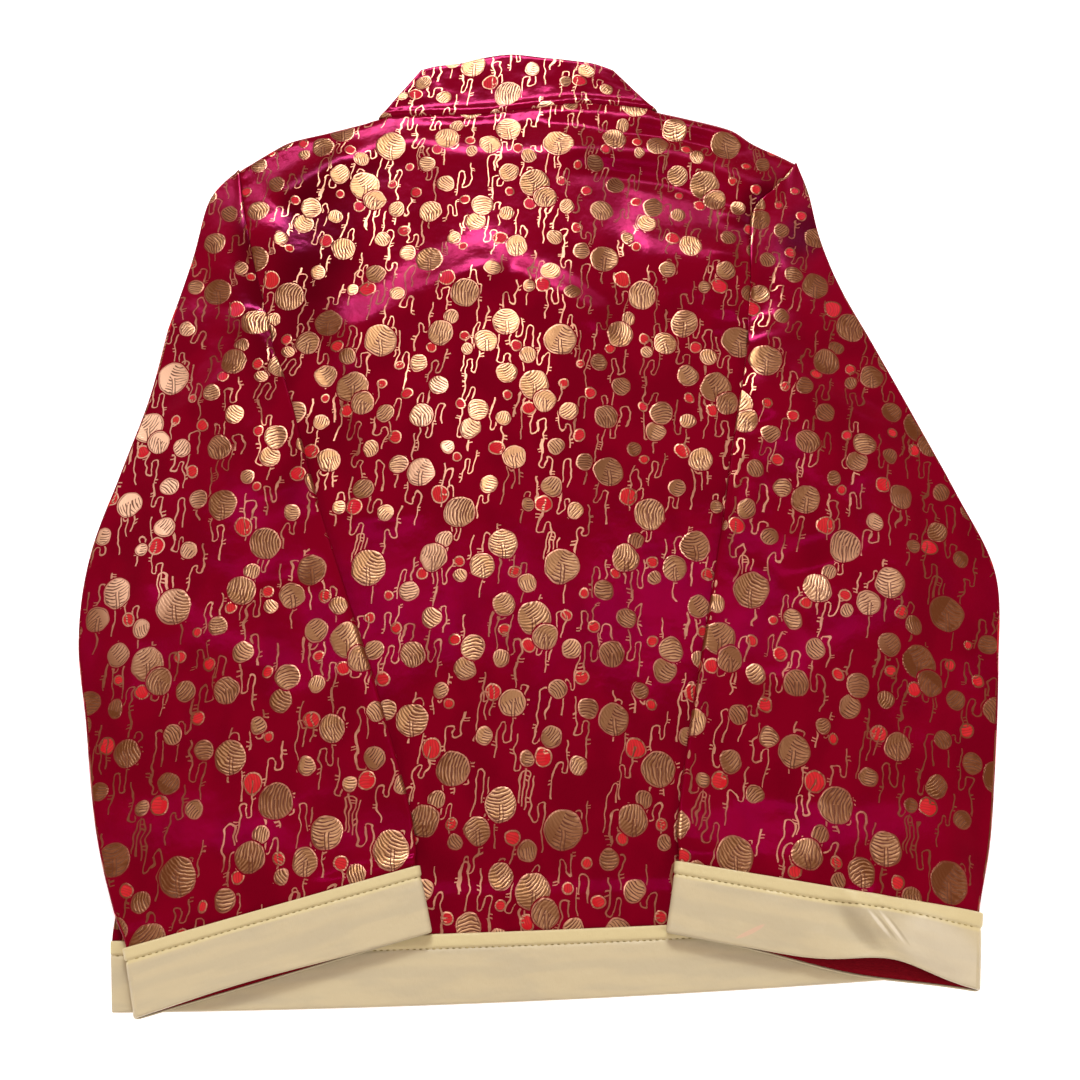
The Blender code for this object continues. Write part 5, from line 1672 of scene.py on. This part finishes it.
def build_cream(settings):
    """Cream satin: smooth, with fine threads, a soft grey streak of painted shade and a yellower folded
    strip.
    """
    tree, shader = new_material("cream_band", tuple(settings.cream), 0.5, Specular_IOR_Level=0.8)
    uv = tree.add("UVMap", uv_map=UV_NAME).outputs[0]
    height = tree.parts(uv)[1]
    drift = threads_of(tree, uv, 0.03, 0.16, 2.0)
    threads = threads_of(tree, uv, 6.0, 0.5)
    grey = colour(settings.cream_grey_and_shade)
    tone = tree.mix(tree.ramp(drift, 0.35, 0.75), colour(settings.cream), grey, "RGBA")
    # A grey streak of painted shade across the bands, where the fold shades them
    middle = tree.math("ADD", height, tree.math("MULTIPLY", drift, SHADE_STREAK_DRIFT))
    above = tree.opposite(tree.ramp(middle, *SHADE_STREAK_FALL))
    streak = tree.math("MULTIPLY", tree.ramp(middle, *SHADE_STREAK_RISE), above)
    tone = tree.mix(tree.math("MULTIPLY", streak, SHADE_STREAK_SHARE), tone, grey, "RGBA")
    tone = tree.mix(tree.ramp(height, *STRIP_EDGE), tone, colour(settings.cream_strip), "RGBA")
    tone = tree.mix(tree.math("MULTIPLY", threads, THREAD_TINT), tone, colour(CREAM_THREAD), "RGBA")
    # Painted sheen on the right cuff's end, painted shade beside its creases and painted highlights on them
    tone = spotted(tree, uv, tone, PAINTED_SHEEN_SPOTS, PAINTED_SHEEN)
    tone = spotted(tree, uv, tone, PAINTED_CREASE_SHADE_SPOTS, PAINTED_CREASE_SHADE)
    tone = spotted(tree, uv, tone, PAINTED_CREASE_HIGHLIGHT_SPOTS, PAINTED_CREASE_HIGHLIGHT)
    tone = spotted(tree, uv, tone, ROSE_RUBS, ROSE)
    tree.link(tone, shader["Base Color"])
    tree.link(tree.mix(threads, *CREAM_GLOSS), shader["Roughness"])
    wrinkle = tree.noise(uv, 0.16, 2.5).outputs["Fac"]
    raise_surface(tree, shader, tree.math("MULTIPLY_ADD", wrinkle, CREAM_WRINKLES, threads), 0.25, 0.0005)


def build_cream_inside(settings):
    tree, shader = new_material("cream_inside", tuple(settings.cream_grey_and_shade), 0.65)
    threads = threads_of(tree, tree.add("UVMap", uv_map=UV_NAME).outputs[0], 1.0, 5.0)
    tone = tree.mix(threads, colour(settings.cream_grey_and_shade), colour(settings.cream), "RGBA")
    tree.link(tone, shader["Base Color"])


# Twisted threads: the colours of their valleys, darker with painted shade, and of their tops, and turns of
# the twist, in radians a metre
Thread = namedtuple("Thread", "name dark light turns")
THREADS = [
    Thread("olive_thread", (0.16, 0.13, 0.045), (0.36, 0.29, 0.12), 2600.0),
    Thread("frog_cord_silk", (0.14, 0.002, 0.02), (0.36, 0.006, 0.07), 700.0),
]


def build_thread(thread):
    tree, shader = new_material(thread.name, thread.light, 0.5)
    place = tree.add("TexCoord").outputs["Object"]
    turns = tree.vector("DOT_PRODUCT", place, (thread.turns, thread.turns, 0.0))
    twist = tree.math("MULTIPLY_ADD", tree.math("SINE", turns), 0.5, 0.5)
    # The twist's valleys get the darker colour: painted shade
    tree.link(tree.mix(twist, colour(thread.dark), colour(thread.light), "RGBA"), shader["Base Color"])
    raise_surface(tree, shader, twist, 0.5, 0.0002)


# --- Stage ---

CAMERA_AIM = (-0.0002, -0.0397, 0.0)
CAMERA_DISTANCE = 0.581
CAMERA_TILT = 21.0
LENS = 40.0
SENSOR = 36.0
Lamp = namedtuple("Lamp", "name from_vertical turn distance width length power colour")
LAMPS = [
    Lamp("key_window", 48.0, -7.0, 1.5, 0.40, 0.16, 9.5, (1.0, 1.0, 1.0)),
    Lamp("glint_left", 23.0, -54.0, 1.5, 0.20, 0.20, 0.9, (1.0, 1.0, 1.0)),
    Lamp("glint_right", 21.0, 44.0, 1.5, 0.20, 0.20, 0.9, (1.0, 1.0, 1.0)),
    Lamp("fill_window", 50.0, 0.0, 2.5, 1.3, 1.0, 52.0, (0.98, 1.0, 1.0)),
    Lamp("fill_left", 60.0, -125.0, 1.6, 1.1, 1.1, 14.5, (0.96, 1.0, 1.0)),
    Lamp("fill_right", 60.0, 125.0, 1.6, 1.1, 1.1, 16.0, (0.96, 1.0, 1.0)),
]


FLOOR_SIZE = 6.0
FLOOR_TONES = (0.96, 0.98)
FLOOR_GLOW = 0.45  # keeps the floor pale where the lamps leave the cloth in soft shade
ROOM_COLOUR = (1.0, 0.35, 0.18)


def aimed_lamp(lamp):
    """An area lamp that faces the jacket, turned from +Y towards +X."""
    low, turn = math.radians(lamp.from_vertical), math.radians(lamp.turn)
    bpy.ops.object.light_add(
        type="AREA",
        location=(
            math.sin(low) * math.sin(turn) * lamp.distance,
            math.sin(low) * math.cos(turn) * lamp.distance,
            math.cos(low) * lamp.distance,
        ),
        rotation=(-low, 0.0, -turn),
    )
    light = bpy.context.object
    light.name = light.data.name = lamp.name
    light.data.shape = "RECTANGLE"
    light.data.size, light.data.size_y = lamp.width, lamp.length
    light.data.energy = lamp.power
    light.data.color = lamp.colour
    light.visible_glossy = "fill" not in lamp.name  # the fills only soften the shadows


def build_stage(settings):
    bpy.ops.mesh.primitive_plane_add(size=FLOOR_SIZE, location=(0.0, 0.0, 0.0))
    floor = bpy.context.object
    floor.name = "floor"
    tree, shader = new_material("pale_floor", (0.97, 0.97, 0.97), 0.9, Emission_Strength=FLOOR_GLOW)
    shader["Emission Color"].default_value = (1.0, 1.0, 1.0, 1.0)
    grain = tree.noise(tree.add("TexCoord").outputs["Object"], 30.0, 2.0, "3D").outputs["Fac"]
    low, high = (colour((tone, tone, tone)) for tone in FLOOR_TONES)
    tree.link(tree.mix(grain, low, high, "RGBA"), shader["Base Color"])
    floor.data.materials.append(bpy.data.materials["pale_floor"])
    bpy.data.materials["pale_floor"].cycles.emission_sampling = "NONE"
    for lamp in LAMPS:
        aimed_lamp(lamp)
    tilt = math.radians(CAMERA_TILT)
    bpy.ops.object.camera_add(
        location=(
            CAMERA_AIM[0],
            CAMERA_AIM[1] - CAMERA_DISTANCE * math.sin(tilt),
            CAMERA_DISTANCE * math.cos(tilt),
        ),
        rotation=(tilt, 0.0, 0.0),
    )
    camera = bpy.context.object
    camera.data.lens = LENS
    camera.data.sensor_width = SENSOR
    scene = bpy.context.scene
    scene.camera = camera
    world = bpy.data.worlds.new("soft_room")
    world.use_nodes = True
    background = world.node_tree.nodes["Background"]
    background.inputs["Color"].default_value = colour(ROOM_COLOUR)
    background.inputs["Strength"].default_value = settings.room_light
    scene.world = world
    scene.view_settings.view_transform = "Standard"


# --- The add-on's settings, operators and panel ---


def colour_property(name, description, default):
    return bpy.props.FloatVectorProperty(
        name=name, description=description, default=default, subtype="COLOR", size=3, min=0.0, max=1.0
    )


class JacketColours(bpy.types.PropertyGroup):
    satin: colour_property("Satin", "Ground of the brocade", (0.157, 0.0005, 0.0092))
    satin_deep: colour_property("Satin, deep", "Darker threads of the ground", (0.094, 0.0003, 0.0050))
    gold: colour_property("Gold", "Bright gold weft", (0.66, 0.415, 0.23))
    gold_deep: colour_property("Gold, deep", "Dull gold weft", (0.40, 0.222, 0.105))
    vine: colour_property("Vine", "Rosy gold of the vines and of the balls' rims", (0.50, 0.25, 0.175))
    ball_red: colour_property("Red", "Red balls", (0.36, 0.007, 0.011))
    cream: colour_property("Cream", "Satin of the bands", (0.460, 0.405, 0.255))
    # Its grey is also the painted shade of the bands' streak
    cream_grey_and_shade: colour_property("Cream, grey", "Dull places of the bands", (0.415, 0.37, 0.245))
    cream_strip: colour_property("Cream strip", "Folded top of the bands", (0.510, 0.445, 0.240))
    room_light: bpy.props.FloatProperty(
        name="Room light", description="Strength of the light from all round", default=0.29, min=0.0
    )


class JacketOperator:
    """Shared settings of the jacket's operators."""

    bl_options = {"REGISTER", "UNDO"}


class JACKET_OT_materials(JacketOperator, bpy.types.Operator):
    """Make the jacket's cloths and threads"""

    bl_idname = "jacket.materials"
    bl_label = "Cloths and threads"

    def execute(self, context):
        settings = context.scene.jacket_colours
        build_spot_group()
        build_thread_group()
        build_brocade(settings)
        build_inside()
        build_cream(settings)
        build_cream_inside(settings)
        for thread in THREADS:
            build_thread(thread)
        return {"FINISHED"}


class JACKET_OT_back(JacketOperator, bpy.types.Operator):
    """Sew the back"""

    bl_idname = "jacket.back"
    bl_label = "Back"

    def execute(self, context):
        build_back()
        return {"FINISHED"}


class JACKET_OT_fronts(JacketOperator, bpy.types.Operator):
    """Sew the two fronts under the back"""

    bl_idname = "jacket.fronts"
    bl_label = "Fronts"

    def execute(self, context):
        build_fronts()
        return {"FINISHED"}


class JACKET_OT_sleeves(JacketOperator, bpy.types.Operator):
    """Sew the two sleeves"""

    bl_idname = "jacket.sleeves"
    bl_label = "Sleeves"

    def execute(self, context):
        build_sleeves()
        return {"FINISHED"}


class JACKET_OT_collar(JacketOperator, bpy.types.Operator):
    """Sew the stand collar"""

    bl_idname = "jacket.collar"
    bl_label = "Collar"

    def execute(self, context):
        build_collar()
        return {"FINISHED"}


class JACKET_OT_bands(JacketOperator, bpy.types.Operator):
    """Sew the cream bands of the hem and the cuffs"""

    bl_idname = "jacket.bands"
    bl_label = "Hem and cuffs"

    def execute(self, context):
        build_hem()
        build_cuffs()
        return {"FINISHED"}


class JACKET_OT_stitches(JacketOperator, bpy.types.Operator):
    """Topstitch the cream bands"""

    bl_idname = "jacket.stitches"
    bl_label = "Stitches"

    def execute(self, context):
        build_stitches()
        return {"FINISHED"}


class JACKET_OT_frogs(JacketOperator, bpy.types.Operator):
    """Tie the frog closures under the fronts"""

    bl_idname = "jacket.frogs"
    bl_label = "Frogs"

    def execute(self, context):
        for number, row_y in enumerate(FROG_ROWS, 1):
            build_frog(number, row_y)
        return {"FINISHED"}


class JACKET_OT_stage(JacketOperator, bpy.types.Operator):
    """Set the floor, the lights and the camera"""

    bl_idname = "jacket.stage"
    bl_label = "Stage"

    def execute(self, context):
        build_stage(context.scene.jacket_colours)
        return {"FINISHED"}


OPERATORS = [
    JACKET_OT_materials,
    JACKET_OT_back,
    JACKET_OT_fronts,
    JACKET_OT_sleeves,
    JACKET_OT_collar,
    JACKET_OT_bands,
    JACKET_OT_stitches,
    JACKET_OT_frogs,
    JACKET_OT_stage,
]


class JACKET_PT_panel(bpy.types.Panel):
    """Lists the jacket's pieces and colours"""

    bl_label = "Tang jacket"
    bl_idname = "JACKET_PT_panel"
    bl_space_type = "VIEW_3D"
    bl_region_type = "UI"
    bl_category = "Tang jacket"

    def draw(self, context):
        for name in JacketColours.__annotations__:
            self.layout.prop(context.scene.jacket_colours, name)
        for operator in OPERATORS:
            self.layout.operator(operator.bl_idname)


CLASSES = [JacketColours, *OPERATORS, JACKET_PT_panel]


def register():
    for item in CLASSES:
        bpy.utils.register_class(item)
    bpy.types.Scene.jacket_colours = bpy.props.PointerProperty(type=JacketColours)


def unregister():
    del bpy.types.Scene.jacket_colours
    for item in reversed(CLASSES):
        bpy.utils.unregister_class(item)


def main():
    register()
    for operator in OPERATORS:
        group, name = operator.bl_idname.split(".")
        getattr(getattr(bpy.ops, group), name)()


if __name__ == "__main__":
    main()
